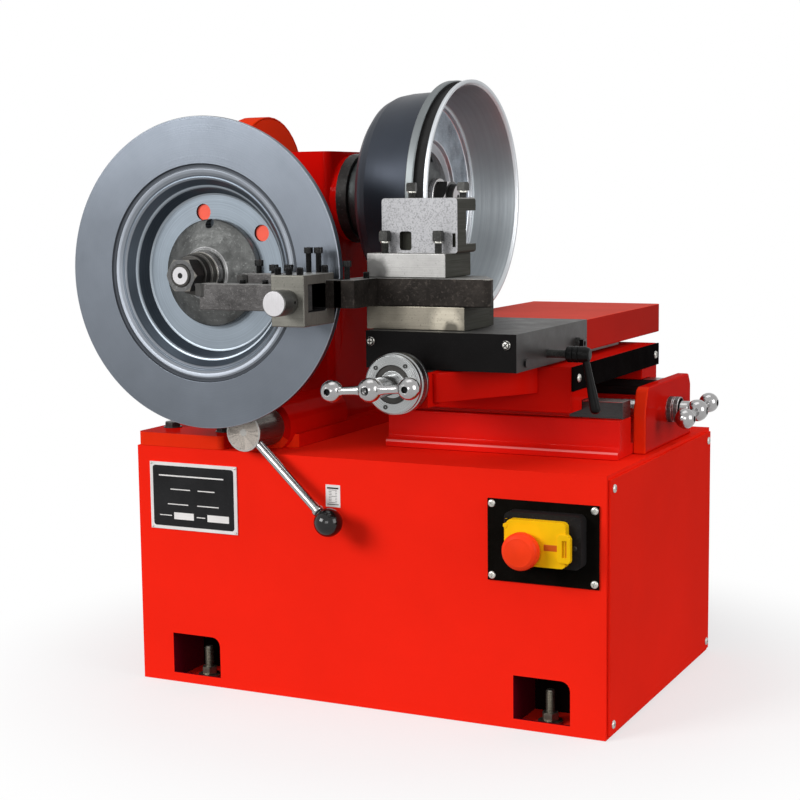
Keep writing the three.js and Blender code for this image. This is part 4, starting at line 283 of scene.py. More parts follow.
# For each slot its materials: the maker, the colour and the maker's further values in their order
RECIPES = {
    "red_paint": {
        # A dark red for the inner faces of the foot windows: painted shade in the recesses
        "window_red_painted_shade": (paint, (0.115, 0.002, 0.01), 0.5),
        "red_sheet": (paint, SHEET_RED, 0.34, 0.02, 0.05, 0.06),
        # A darker copy of the sheet red for the rear cover: the darkness is painted shade
        "red_cover_painted_shade": (paint, (0.52, 0.012, 0.005), 0.34, 0.05, 0.05, 0.1),
        # A brighter red for the rear cover's top faces: painted light from above
        "red_top_painted_light": (paint, (0.86, 0.085, 0.055), 0.34, 0.05, 0.05, 0.1),
    },
    "red_casting": {
        # A brighter red: on the front faces of the headstock foot and the end bracket it is painted front
        # light; the disc's hub ring uses it as plain bright red
        "bright_red_and_painted_front_light": (paint, (0.86, 0.03, 0.006), 0.4, 0.05, 0.08, 0.12, 0.16),
        # red_cast_painted_shade, red_tower_painted_shade and bed_red_painted_shade are darker copies of the
        # sheet red; their darkness is painted shade, darkest on the headstock's upper part
        "red_cast_painted_shade": (paint, (0.66, 0.007, 0.003), 0.36, 0.05, 0.08, 0.14, 0.16),
        "red_tower_painted_shade": (paint, (0.62, 0.004, 0.002), 0.38, 0.04, 0.08, 0.14, 0.2),
        "red_guard": (paint, (0.74, 0.035, 0.004), 0.36, 0.04, 0.05, 0.08),
        "bed_red_painted_shade": (paint, (0.74, 0.011, 0.006), 0.34, 0.1, 0.08, 0.14, 0.12, 0.01),
        # A pale pink for the bed's slanted bottom ledge: a painted highlight
        "red_painted_highlight": (paint, (0.86, 0.2, 0.19), 0.3, 0.1, 0.05, 0.1),
    },
    "black_paint": {
        # Black for the back walls and ceilings of the foot windows: painted shade
        "window_black_painted_shade": (satin, (0.006, 0.003, 0.003), 0.6, 0.0, 0.0),
        # A darker black for the slide cover's front: painted shade
        "cover_front_painted_shade": (satin, (0.004, 0.0035, 0.0035), 0.46, 0.008, 0.05),
        "plate_black": (satin, (0.01, 0.01, 0.011), 0.38, 0.02),
        "ink": (satin, (0.012, 0.012, 0.012), 0.5, 0.01),
        "panel_black": (satin, (0.006, 0.005, 0.005), 0.45, 0.01, 0.0),
        # Near black for the inner walls of the fork's slot: painted shade
        "fork_slot_painted_shade": (satin, (0.01, 0.009, 0.009), 0.5, 0.02),
        "black_sheet": (satin, (0.02, 0.018, 0.017), 0.42, 0.04, 0.3),
        # A paler black for the slide cover's top: painted light from above
        "black_top_painted_light": (satin, (0.044, 0.042, 0.039), 0.5, 0.03, 0.3),
        "black_rough": (satin, (0.005, 0.004, 0.003), 0.55, 0.01, 0.0),
        # Near black for grooves, centre holes and ball sockets: painted shade
        "socket_painted_shade": (satin, (0.02, 0.02, 0.02), 0.5, 0.02),
        "groove_painted_shade": (satin, (0.02, 0.02, 0.02), 0.6, 0.03),
    },
    "ground_steel": {
        "nut_bright": (ground, (0.5, 0.49, 0.5), 0.38, "z", 0.6, 0.1, 0.2),
        "shaft_steel": (ground, (0.24, 0.23, 0.21), 0.32, "y", 0.95, 0.3, 0.4),
        "way_steel": (ground, (0.045, 0.045, 0.045), 0.3, "x", 0.8, 0.3, 0.4),
        "way_top": (ground, (0.22, 0.21, 0.2), 0.28, "x", 1.0, 0.3, 0.3),
        "bolt_zinc": (ground, (0.3, 0.28, 0.23), 0.34, "z", 0.95, 0.35, 0.4),
        "screw_bright": (ground, (0.56, 0.55, 0.51), 0.28, "x", 0.75, 0.2, 0.3),
        "olive_steel": (ground, (0.034, 0.034, 0.027), 0.6, "y", 0.1, 0.12, 0.2, 0.06),
        "base_face": (ground, (0.23, 0.21, 0.17), 0.4, "x", 0.9, 0.4, 0.5, 0.16, [
            ((106, -190, 418), 17, 1.7), ((112, -190, 411), 9, 0.45), ((22, -190, 422), 12, 0.7),
        ]),
        "post_face": (speckled, (0.36, 0.36, 0.37)),
        "plate_face": (ground, (0.34, 0.335, 0.325), 0.38, "x", 0.9, 0.2, 0.4, 0.16, [
            ((26, -190, 470), 16, 0.3),
        ]),
        "plate_top": (ground, (0.36, 0.35, 0.33), 0.36, "x", 0.9, 0.35, 0.5, 0.2),
        "pale_end_bevel": (ground, (0.3, 0.29, 0.26), 0.34, "y", 0.9, 0.4, 0.6),
        "fork_face": (ground, (0.17, 0.165, 0.145), 0.44, "x", 0.8, 0.4, 0.5, 0.2),
        "fork_top": (ground, (0.42, 0.41, 0.38), 0.4, "x", 0.9, 0.4, 0.5, 0.2),
        "bit_steel": (ground, (0.055, 0.054, 0.052), 0.34, "y", 0.7, 0.3, 0.3),
        "knob_steel": (ground, (0.13, 0.13, 0.125), 0.36, "x", 0.9, 0.4, 0.6),
        "lever_face": (ground, (0.5, 0.45, 0.4), 0.4, "x", 0.5, 0.12, 0.2, 0.1),
        "steel_x": (ground, (0.42, 0.41, 0.4), 0.34, "x"),
        "steel_y": (ground, (0.36, 0.35, 0.33), 0.34, "y"),
        "bright_steel": (ground, (0.55, 0.54, 0.54), 0.27, "z", 0.95, 0.15, 0.3, 0.12),
        "bearing": (turned, "y", DISC, (0.62, 0.62, 0.62), 0.25, 700, 0.1),
    },
    "dark_iron": {
        "bell_iron": (cast_iron, (0.085, 0.087, 0.085), 0.42, 2.4, 0.8, 0.5, 120),
        "bell_edge": (cast_iron, (0.26, 0.26, 0.26), 0.36, 2.0, 0.9, 0.1),
        "bell_green": (cast_iron, (0.05, 0.055, 0.055), 0.46, 1.8, 0.7, 0.2),
        "plate_dark": (cast_iron, (0.085, 0.088, 0.09), 0.42, 2.2, 0.8, 0.2),
        "nut_dark": (ground, (0.055, 0.053, 0.05), 0.36, "y", 0.8, 0.4, 0.4),
        "collar_dark": (ground, (0.1, 0.1, 0.1), 0.34, "y", 0.9, 0.3, 0.4),
        "slide_iron": (ground, (0.16, 0.16, 0.155), 0.42, "y", 0.8, 0.35, 0.5),
        "screw_black": (cast_iron, (0.014, 0.014, 0.014), 0.3, 3.0, 0.7, 0.1, 300),
        "fork_iron": (ground, (0.15, 0.14, 0.125), 0.5, "z", 0.5, 0.4, 0.6, 0.24),
        "dark_iron": (cast_iron, (0.03, 0.029, 0.028)),
        "arm_iron": (cast_iron, (0.07, 0.067, 0.066), 0.5, 2.6, 0.7, 0.7, 170),
        "arm_top": (cast_iron, (0.24, 0.235, 0.225), 0.42, 2.0, 0.8, 0.4, 170),
        "twin_iron": (cast_iron, (0.018, 0.015, 0.013), 0.5, 4.0, 0.6, 0.6, 120),
        "bolt_black": (cast_iron, (0.045, 0.045, 0.043), 0.42, 3.0, 0.6, 0.2, 300),
    },
    "turned_iron": {
        # Brighter turned steel; on the rim's front chamfer it is a painted highlight
        "disc_bright": (turned, "y", DISC, (0.23, 0.25, 0.28), 0.42, 1800, 0.1),
        # Dark turned iron for the hat's cone walls; on the rim's side and the disc's back it is painted
        # shade
        "hat_cone": (turned, "y", DISC, (0.085, 0.105, 0.13), 0.42, 900, 0.2, 0.85, 0.3),
        "hat_light": (turned, "y", DISC, (0.23, 0.26, 0.29), 0.42, 900, 0.1),
        # A darker band for the groove on the disc's face: painted shade
        "groove_soft": (turned, "y", DISC, (0.05, 0.056, 0.066), 0.5, 900, 0.2, 0.6, 0.2),
        "hat_mid": (turned, "y", DISC, (0.12, 0.14, 0.165), 0.4, 900, 0.14, 0.9, 0.3),
        "hat_face": (turned, "y", DISC, (0.185, 0.215, 0.245), 0.46, 700, 0.12, 0.9, 0.2),
        "disc_iron": (turned, "y", DISC, (0.125, 0.14, 0.162), 0.34, 1500, 0.1, 1.0, 0.1),
    },
    "drum_iron": {
        "rim_bright": (turned, "x", DRUM, (0.5, 0.52, 0.54), 0.36, 1200, 0.08),
        "drum_step": (turned, "x", DRUM, (0.52, 0.54, 0.57), 0.3, 900, 0.1),
        "drum_web": (cast_iron, (0.33, 0.375, 0.42), 0.5, 1.8, 0.6, 0.4, 260),
        "drum_hub": (turned, "x", DRUM, (0.4, 0.41, 0.43), 0.42, 700, 0.1, 0.8),
        "lip_grey": (turned, "x", DRUM, (0.17, 0.185, 0.19), 0.42, 900, 0.12),
        "drum_outer": (turned, "x", DRUM, (0.034, 0.04, 0.052), 0.42, 300, 0.15, 0.6, 0.2),
        "drum_inner": (turned, "x", DRUM, (0.34, 0.375, 0.395), 0.44, 900, 0.16, 0.5, 0.2),
    },
    "chrome": {
        "chrome": (ground, (0.34, 0.335, 0.335), 0.13, "z", 1.0, 0.06, 0.06, 0.04),
        "dial_chrome": (turned, "y", CROSS, (0.36, 0.37, 0.37), 0.26, 1200, 0.2, 1.0, 0.6),
    },
    "yellow_plastic": {
        "recess_orange": (plastic, (0.6, 0.11, 0.005), 0.4),
        "yellow": (plastic, (0.95, 0.54, 0.005), 0.4, 0.06, 0.0, 0.05),
        "label_white": (plastic, (0.84, 0.82, 0.8), 0.5, 0.04, 0.0, 0.05),
    },
    "red_plastic": {
        "button_red": (plastic, (0.98, 0.05, 0.01), 0.36, 0.04, 0.0, 0.08),
        "lug_red": (plastic, (1.0, 0.13, 0.08), 0.4),
    },
    "green_plastic": {"button_green": (plastic, (0.01, 0.24, 0.05), 0.3)},
    "black_plastic": {
        "box_grey": (satin, (0.013, 0.012, 0.012), 0.45, 0.02, 0.04),
        "black_plastic": (plastic, (0.004, 0.004, 0.004), 0.34, 0.05, 0.0, 0.08),
        "knob_black": (plastic, (0.005, 0.005, 0.005), 0.12, 0.01, 0.14, 0.3),
    },
    "motor_shell": {"motor_grey": (paint, (0.09, 0.11, 0.13), 0.45, 0.1, 0.1, 0.2, 0.2)},
    "belt_rubber": {"rubber": (satin, (0.015, 0.015, 0.015), 0.8, 0.04)},
}
MATERIALS, SLOTS = {}, {}
for slot, recipes in RECIPES.items():
    for key, (maker, *values) in recipes.items():
        tree = Nodes(bpy.data.materials.new(key))
        maker(tree, *values)
        MATERIALS[key], SLOTS[key] = tree.owner, slot

# The CAD nodes that the render shows as they are
inner_materials = {
    "steel_x": "motor_pulley input_pulley input_shaft drum_gears",
    "steel_y": "disc_gear shift_shaft",
    "bearing": "disc_bearing_front disc_bearing_rear drum_bearing_left drum_bearing_right",
    "bright_steel": "feed_screw cross_screw",
    "button_green": "start_button",
    "motor_grey": "motor",
    "rubber": "v_belt",
    "dark_iron": "disc_spindle",
}
for key, names in inner_materials.items():
    for name in names.split():
        nodes[name].data.materials.clear()
        nodes[name].data.materials.append(MATERIALS[key])


# Shapes
def soften(profile, reach, steps):
    """Rounds the corners of an open run of points, each by less than half a side."""
    flat, largest, smallest = math.radians(12), 0.45, 0.02
    out = [profile[0]]
    for a, b, c in zip(profile, profile[1:], profile[2:]):
        way_in, way_out = b - a, c - b
        if way_in.length < TINY or way_out.length < TINY:
            continue
        size = min(reach, way_in.length * largest, way_out.length * largest)
        if way_in.angle(way_out) < flat or size < smallest:
            out.append(b)
            continue
        start, end = b - way_in.normalized() * size, b + way_out.normalized() * size
        for t in (i / steps for i in range(steps + 1)):
            out.append((1 - t) ** 2 * start + 2 * t * (1 - t) * b + t * t * end)
    out.append(profile[-1])
    return out


def spot(axis, a, b, along):
    """A point from two places square to an axis and one along it."""
    point = [0, 0, 0]
    for i, value in zip(AXES[axis], (a, b, along)):
        point[i] = value
    return Vector(point)


def lathe(axis, profile, u=0, v=0, sides=96, reach=0.5, steps=2):
    """A profile of (radius, place along the axis) turned about the axis through (u, v)."""
    line = [Vector(p) for p in profile]
    closed = line[0] == line[-1]
    if closed:
        middle_of_first = (line[0] + line[1]) / 2
        line = [middle_of_first, *line[1:-1], line[0], middle_of_first]
    line = soften(line, reach, steps)
    if closed:
        line = line[:-1]
    bm = bmesh.new()
    loops = []
    for radius, along in line:
        angles = [i / sides * math.tau for i in range(sides)] if radius >= TINY else [0]
        places = [(u + radius * math.cos(a), v + radius * math.sin(a)) for a in angles]
        loops.append([bm.verts.new(spot(axis, *place, along)) for place in places])
    for low, high in zip(loops, loops[1:] + loops[:1] if closed else loops[1:]):
        for i in range(sides if len(low) + len(high) > 2 else 0):
            k = (i + 1) % sides
            if len(low) == 1:
                bm.faces.new((low[0], high[i], high[k]))
            elif len(high) == 1:
                bm.faces.new((low[i], low[k], high[0]))
            else:
                bm.faces.new((low[i], low[k], high[k], high[i]))
    bmesh.ops.recalc_face_normals(bm, faces=bm.faces)
    return bm


def round_bar(axis, radius, a, b, u, v, sides=48, reach=0.5):
    return lathe(axis, [(0, a), (radius, a), (radius, b), (0, b)], u, v, sides, reach)


def bevelled(bm, reach, segments=2, limit=25):
    if reach:
        edges = [
            e for e in bm.edges if len(e.link_faces) == 2 and e.calc_face_angle(0) > math.radians(limit)
        ]
        bmesh.ops.bevel(
            bm, geom=edges, offset=reach, offset_type="OFFSET", segments=segments, profile=0.5,
            affect="EDGES", clamp_overlap=True,
        )
    return bm


def prism(axis, outline, a, b, reach=0.6, segments=2):
    """An outline drawn square to an axis, from one place on it to another."""
    bm = bmesh.new()
    low = [bm.verts.new(spot(axis, u, v, a)) for u, v in outline]
    high = [bm.verts.new(spot(axis, u, v, b)) for u, v in outline]
    bm.faces.new(low)
    bm.faces.new(high[::-1])
    for i in range(len(outline)):
        k = (i + 1) % len(outline)
        bm.faces.new((low[i], high[i], high[k], low[k]))
    bmesh.ops.recalc_face_normals(bm, faces=bm.faces)
    return bevelled(bm, reach, segments)


def block(x0, x1, y0, y1, z0, z1, reach=0.6, segments=2):
    return prism("z", [(x0, y0), (x1, y0), (x1, y1), (x0, y1)], z0, z1, reach, segments)


def rounded(u0, u1, v0, v1, radius, steps=6):
    """The outline of a rectangle with round corners."""
    points = []
    centres = [
        (u1 - radius, v1 - radius), (u0 + radius, v1 - radius), (u0 + radius, v0 + radius),
        (u1 - radius, v0 + radius),
    ]
    for quarter, (u, v) in enumerate(centres):
        for i in range(steps + 1):
            angle = (quarter + i / steps) * math.pi / 2
            points.append((u + radius * math.cos(angle), v + radius * math.sin(angle)))
    return points


def tube(points, radii, sides):
    """A round rod through points, with a radius for each."""
    bm = bmesh.new()
    loops = []
    points = [Vector(p) for p in points]
    for i, point in enumerate(points):
        way = (points[min(i + 1, len(points) - 1)] - points[max(i - 1, 0)]).normalized()
        side = (side - way * side.dot(way)).normalized() if loops else way.orthogonal().normalized()
        other = way.cross(side)
        loops.append([
            bm.verts.new(point + radii[i] * (math.cos(t) * side + math.sin(t) * other))
            for t in (k / sides * math.tau for k in range(sides))
        ])
    for low, high in zip(loops, loops[1:]):
        for i in range(sides):
            k = (i + 1) % sides
            bm.faces.new((low[i], low[k], high[k], high[i]))
    bm.faces.new(loops[0][::-1])
    bm.faces.new(loops[-1])
    bmesh.ops.recalc_face_normals(bm, faces=bm.faces)
    return bm


def merged(*parts):
    whole = bmesh.new()
    for part in parts:
        data = bpy.data.meshes.new("part")
        part.to_mesh(data)
        part.free()
        whole.from_mesh(data)
        bpy.data.meshes.remove(data)
    return whole


def shown(bm, name):
    """Makes a shape a mesh object of the scene."""
    data = bpy.data.meshes.new(name)
    bm.to_mesh(data)
    bm.free()
    thing = bpy.data.objects.new(name, data)
    scene.collection.objects.link(thing)
    return thing


def combine(bm, tools, operation):
    """Cuts or joins shapes exactly."""
    target = shown(bm, "target")
    others = [shown(tool, "tool") for tool in tools]
    for other in others:
        modifier = target.modifiers.new("cut", "BOOLEAN")
        modifier.operation = operation
        modifier.solver = "EXACT"
        modifier.object = other
    graph = bpy.context.evaluated_depsgraph_get()
    result = bmesh.new()
    result.from_mesh(bpy.data.meshes.new_from_object(target.evaluated_get(graph)))
    for thing in (target, *others):
        data = thing.data
        bpy.data.objects.remove(thing)
        bpy.data.meshes.remove(data)
    return result


def cut(bm, *tools):
    return combine(bm, tools, "DIFFERENCE")


def body_of(name):
    return nodes[name]["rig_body"]


def piece(name, bm, body, key, replaces=(), zones=()):
    """Makes the shape an object in metres that rides on a body, with other materials where zones say."""
    sharp = math.radians(SHARP_DEGREES)
    keys = list(dict.fromkeys([key, *[zone_key for zone_key, _ in zones]]))
    bm.normal_update()
    for face in bm.faces:
        face.smooth = True
        centre, normal = face.calc_center_median(), face.normal
        found = next((zone_key for zone_key, test in zones if test(centre, normal)), key)
        face.material_index = keys.index(found)
    for edge in bm.edges:
        if len(edge.link_faces) == 2 and edge.calc_face_angle(0) > sharp:
            edge.smooth = False
    bmesh.ops.scale(bm, vec=(MM, MM, MM), verts=bm.verts)
    thing = shown(bm, name)
    for each in keys:
        thing.data.materials.append(MATERIALS[each])
    level_shading = thing.modifiers.new("normals", "WEIGHTED_NORMAL")
    level_shading.keep_sharp = True
    level_shading.weight = 100
    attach(thing, body)
    if replaces:
        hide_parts(*replaces)


def dress(node, bm, key, zones=()):
    """A finer shape in place of a CAD node, on its body."""
    piece(node + "_visual", bm, body_of(node), key, (node,), zones)


# Floor and light
def seen_directly(n):
    """One for camera, mirror and clear rays, so metal shows the same background as the eye."""
    rays = n.add("ShaderNodeLightPath").outputs
    seen = n.math("MAXIMUM", rays["Is Camera Ray"], rays["Is Glossy Ray"])
    return n.math("MAXIMUM", seen, rays["Is Transmission Ray"])


def floor():
    """A pale floor that keeps the object's shadow and runs into the white background further out."""
    n = Nodes(bpy.data.materials.new("floor"))
    n.set(Base_Color=(0.86, 0.86, 0.86), Roughness=0.8, Specular_IOR_Level=0.05)
    white = n.add("ShaderNodeEmission", {"Strength": seen_directly(n)})
    reach = n.add("ShaderNodeVectorMath", {0: n.place}, operation="LENGTH").outputs["Value"]
    inner, outer = 0.34, 0.62
    share = n.spread(reach, 0.62, 1.0, inner, outer, interpolation_type="SMOOTHSTEP")
    mix = n.add("ShaderNodeMixShader", {0: share, 1: n.shader.outputs[0], 2: white.outputs[0]})
    n.feed(n.tree.nodes["Material Output"], {"Surface": mix.outputs[0]})
    data = bpy.data.meshes.new("floor")
    edge = 30
    data.from_pydata([
        (-edge, -edge, 0), (edge, -edge, 0), (edge, edge, 0), (-edge, edge, 0),
    ], [], [(0, 1, 2, 3)])
    data.materials.append(n.owner)
    thing = bpy.data.objects.new("floor", data)
    thing.location.z = -0.0005
    scene.collection.objects.link(thing)


def lamp(name, where, size, power, aim=(0, 0, 0.3)):
    light = bpy.data.lights.new(name, "AREA")
    light.shape = "RECTANGLE"
    light.size, light.size_y = size
    light.energy = power
    thing = bpy.data.objects.new(name, light)
    thing.location = where
    thing.rotation_euler = (Vector(aim) - Vector(where)).to_track_quat("-Z", "Y").to_euler()
    scene.collection.objects.link(thing)


def sky():
    scene.world = bpy.data.worlds.new("sky")
    n = Nodes(scene.world, "Background")
    n.set(Color=n.blend(seen_directly(n), (0.40, 0.40, 0.41), (1, 1, 1)), Strength=1.0)


floor()
sky()
lamp("key", (-1.6, -2.5, 1.45), (1.5, 1.0), 62, (0, 0, 0.35))
lamp("front", (0.9, -3.3, 1.0), (1.4, 1.0), 20)
lamp("side", (2.6, -0.5, 1.0), (1.2, 1.4), 24)
lamp("top", (0.1, -0.1, 2.6), (1.6, 1.2), 9)


# Shared shapes
def taken(name):
    """A CAD node's shape in millimetres, with its flat faces whole."""
    bm = bmesh.new()
    bm.from_mesh(nodes[name].data)
    bmesh.ops.scale(bm, vec=(1000, 1000, 1000), verts=bm.verts)
    bmesh.ops.remove_doubles(bm, verts=bm.verts, dist=WELD)
    bmesh.ops.dissolve_limit(bm, angle_limit=math.radians(FLAT_DEGREES), verts=bm.verts, edges=bm.edges)
    return bm


def corners(bm):
    places = [vert.co for vert in bm.verts]
    return [min(p[i] for p in places) for i in range(3)] + [-max(p[i] for p in places) for i in range(3)]


def softened(bm, reach, segments=2):
    """Rounds sharp edges, with less reach where they would run out of the shape."""
    slack, volume_slack = 0.05, 0.05
    box, volume = corners(bm), abs(bm.calc_volume())
    for share in (1, 0.5, 0.25):
        trial = bevelled(bm.copy(), reach * share, segments, SHARP_DEGREES)
        inside = all(a > b - slack for a, b in zip(corners(trial), box))
        if inside and abs(abs(trial.calc_volume()) / volume - 1) < volume_slack:
            return trial
        trial.free()
    return bm


def refined(name, key, reach=0.8, segments=2, zones=()):
    """A CAD node's own shape with its edges rounded."""
    piece(name + "_shell", softened(taken(name), reach, segments), body_of(name), key, (name,), zones)


def ring(axis, u, v, low, high, start=-FAR, end=FAR):
    """A test for faces between two radii and two places on an axis."""
    first, second, third = AXES[axis]

    def test(centre, normal):
        radius = math.hypot(centre[first] - u, centre[second] - v)
        return low <= radius <= high and start <= centre[third] <= end

    return test


def facing(axis, sign=1, limit=0.7, start=-FAR, end=FAR):
    """A test for faces that look along an axis, between two places on it."""
    i = "xyz".index(axis)
    return lambda centre, normal: normal[i] * sign > limit and start <= centre[i] <= end


def stand(bm, at, way=UP, spin=0):
    """A copy of a shape made upright on the origin, stood at a place along a way."""
    turn = Vector((0, 0, 1)).rotation_difference(Vector(way)).to_matrix().to_4x4()
    twin = bm.copy()
    place = Matrix.Translation(at) @ turn @ Matrix.Rotation(spin, 4, "Z")
    bmesh.ops.transform(twin, matrix=place, verts=twin.verts)
    return twin


def row(master, places, way=UP):
    """Copies of a fastener, each turned a little further than the last."""
    return merged(*[stand(master, at, way, 0.7 * i) for i, at in enumerate(places)])


def arc(radius, start, step, count, lift=0):
    """Points of a ball's profile from an angle up, with its centre at a height."""
    angles = [start + i * step for i in range(count)]
    return [(radius * math.sin(a), lift - radius * math.cos(a)) for a in angles]


def hexagon(radius):
    return [(radius * math.cos(i * math.pi / 3), radius * math.sin(i * math.pi / 3)) for i in range(6)]


def pan_head(radius, height):
    """A domed head with a cross recess."""
    r, h = radius, height
    head = lathe("z", [
        (0, 0), (r, 0), (r * 0.98, h * 0.35), (r * 0.84, h * 0.74), (r * 0.5, h * 0.96), (0, h),
    ], sides=32)
    arm, thin = r * 0.56, r * 0.11
    cross = [
        block(-arm, arm, -thin, thin, h * 0.35, h * 2, 0),
        block(-thin, thin, -arm, arm, h * 0.35, h * 2, 0),
    ]
    return cut(head, *cross)


def hex_head(radius, height, washer=0):
    r, h = radius, height
    head = prism("z", hexagon(r), 0, h, 0)
    dome = lathe("z", [
        (0, -1), (r * 1.1, -1), (r * 1.05, h * 0.72), (r * 0.86, h), (0, h),
    ], sides=48, reach=0)
    head = combine(head, [dome], "INTERSECT")
    if washer:
        head = merged(head, lathe("z", [
            (0, 0), (r * 1.12, 0), (r * 1.12, washer), (0, washer),
        ], sides=40, reach=0.3))
    return head


def threaded(radius, low, high, pitch=1.0, depth=0.16, sides=28):
    """A threaded rod shown as close rings."""
    line, at = [(0, low)], low
    while at + pitch < high:
        line += [(radius * (1 - depth), at), (radius, at + pitch * 0.35), (radius, at + pitch * 0.6)]
        at += pitch
    line += [(radius * (1 - depth), at), (radius * (1 - depth), high), (0, high)]
    return lathe("z", line, sides=sides, reach=0)


def set_screw(radius, height):
    """A threaded screw with a hex socket in its top."""
    rod = threaded(radius, 0, height, radius * 0.32)
    return cut(rod, prism("z", hexagon(radius * 0.55), height - radius * 0.8, height + 1, 0))


def square_head(half, stem, height, stem_radius):
    """A square headed bolt: threaded stem, collar and chamfered head."""
    rod = threaded(stem_radius, 0, stem, 1.4)
    collar = lathe("z", [
        (0, stem - 1.8), (half * 1.02, stem - 1.8), (half * 1.02, stem), (0, stem),
    ], sides=40, reach=0.4)
    head = block(-half, half, -half, half, stem, stem + height, 0)
    top = stem + height
    dome = lathe("z", [
        (0, 0), (half * 1.5, 0), (half * 1.5, top - height * 0.28), (half * 1.06, top), (0, top),
    ], sides=48, reach=0)
    return merged(rod, collar, softened(combine(head, [dome], "INTERSECT"), 0.5))


def nut_shape(axis, radius, bore, low, high, u, v):
    hexa = [(u + a, v + b) for a, b in hexagon(radius)]
    deep = (high - low) * 0.13
    dome = lathe(axis, [
        (0, low), (radius * 0.88, low), (radius * 1.03, low + deep), (radius * 1.03, high - deep),
        (radius * 0.88, high), (0, high),
    ], u, v, 64, 0)
    body = combine(prism(axis, hexa, low, high, 0), [dome], "INTERSECT")
    return softened(cut(body, round_bar(axis, bore, low - 2, high + 2, u, v, 48, 0)), 0.35)


def cap_screw(radius, height):
    """A threaded screw with a socket head."""
    head = lathe("z", [
        (0, height - radius * 2), (radius * 1.5, height - radius * 2), (radius * 1.5, height), (0, height),
    ], sides=32, reach=0.4)
    head = cut(head, prism("z", hexagon(radius * 0.8), height - radius, height + 1, 0))
    return merged(threaded(radius, 0, height - radius * 1.9, radius * 0.34), head)


def knurled(axis, radius, low, high, u, v, teeth=64, depth=0.35):
    outline = []
    for i in range(teeth * 2):
        angle = i / teeth * math.pi
        r = radius - (depth if i % 2 else 0)
        outline.append((u + r * math.cos(angle), v + r * math.sin(angle)))
    return prism(axis, outline, low, high, 0)


def carbide_bit(x0, y0, y1, z0):
    """A square bit with a pointed, tipped end towards the disc."""
    shank = prism("z", [
        (x0, y1), (x0 + 13, y1), (x0 + 13, y0 + 3), (x0 + 9, y0), (x0 + 2, y0 + 1),
    ], z0, z0 + 13, 0.5)
    tip_plate = prism("z", [
        (x0 + 1.6, y0 + 0.9), (x0 + 9.2, y0 - 0.1), (x0 + 8, y0 + 7), (x0 + 1, y0 + 7),
    ], z0 + 10.5, z0 + 13.2, 0.3)
    return merged(shank, tip_plate)


DISC_BORE = 12.3
DRUM_BORE = 15.3
disc_lathe = partial(lathe, "y", u=DISC[0], v=DISC[1])
drum_lathe = partial(lathe, "x", u=DRUM[0], v=DRUM[1])
disc_ring = partial(ring, "y", *DISC)
drum_ring = partial(ring, "x", *DRUM)

# Brake disc and its spindle end
disc = disc_lathe([
    (DISC_BORE, -190), (45, -190), (83.5, -190), (85.6, -190.8), (88.6, -197), (91, -203), (92.4, -204.4),
    (94.4, -204.8), (96.4, -207.4), (100.4, -212.9), (102.2, -214.4), (103.6, -213.9), (105, -214.8),
    (107.6, -216.7), (111, -217.2), (113, -215.9), (115.8, -215.9), (117, -218), (166.3, -218),
    (167, -217.3), (167, -213.4), (166, -213), (166, -208.6), (165.4, -208), (106, -208), (87.5, -183),
    (DISC_BORE, -183), (DISC_BORE, -190),
], sides=200, reach=0.25, steps=1)
lug_places = [(DISC[0] - 13.9, DISC[1] + 65.2), (DISC[0] + 58.6, DISC[1] + 42.6)]
disc = cut(disc, *[round_bar("y", 9, -196, -178, *place, 48, 0) for place in lug_places])
# The rim's front chamfer takes a brighter colour as a painted highlight, and the rim's side and the disc's
# back a dark one as painted shade
disc_zones = [
    ("disc_bright", 166.1, 168, -218.1, -215.6), ("hat_cone", 165.5, 168, -215.6, -180),
    ("hat_cone", 105, 168, -213.3, -180), ("groove_soft", 112.2, 116.8), ("disc_bright", 105.2, 112.3),
    ("hat_mid", 102, 105.3), ("disc_bright", 100.2, 102.2), ("hat_cone", 94.3, 100.5, -214, -204),
    ("hat_light", 91.1, 94.5, -206, -202.9), ("hat_cone", 85.8, 91.2, -204, -190.5),
    ("hat_light", 83.4, 86, -191.5, -189.5), ("hat_face", 0, 83.6, -191, -189),
    ("hat_cone", 0, 168, -207, -180),
]
piece("disc_visual", disc, "disc_work", "disc_iron", ("brake_disc",), [
    (key, disc_ring(*span)) for key, *span in disc_zones
])
piece("disc_hub_ring", disc_lathe([
    (57, -182.8), (86, -182.8), (86, -181.3), (57, -181.3), (57, -182.8),
], sides=96, reach=0.3), "disc_work", "bright_red_and_painted_front_light")
plugs = [round_bar("y", 8.8, -187.4, -182.9, *place, 40, 0.3) for place in lug_places]
piece("disc_lug_plugs", merged(*plugs), "disc_work", "lug_red")
dress("disc_back_bell", disc_lathe([
    (DISC_BORE, -158.7), (38, -158.7), (40.3, -159.3), (50, -170), (56, -176), (56, -182.7), (48, -182.7),
    (34, -167), (DISC_BORE, -167), (DISC_BORE, -158.7),
], sides=96, reach=2, steps=3), "dark_iron")
bell = disc_lathe([
    (DISC_BORE, -212.3), (26.2, -212.3), (27, -211.5), (28.5, -210.6), (41.8, -205.5), (52, -200.6),
    (57, -198), (58, -196.5), (58, -190.3), (50, -190.3), (38, -198), (DISC_BORE, -204),
    (DISC_BORE, -212.3),
], sides=128, reach=1.4, steps=3)
bell = cut(bell, round_bar("y", 5.2, -214, -188, DISC[0], DISC[1] + 53, 32, 0))
dress("disc_front_bell", bell, "bell_iron", [
    ("bell_edge", disc_ring(57.3, 59)),
    ("bell_edge", disc_ring(26, 28.6, -213)),
    ("groove_painted_shade", disc_ring(49, 56, -197.5, -195)),
])
spacer = disc_lathe([
    (DISC_BORE, -212.6), (23, -212.6), (24, -213.6), (24, -222), (22.6, -223), (22.6, -231), (20.6, -232.2),
    (20.6, -240.1), (19.8, -240.9), (DISC_BORE, -240.9), (DISC_BORE, -212.6),
], sides=96, reach=0.3)
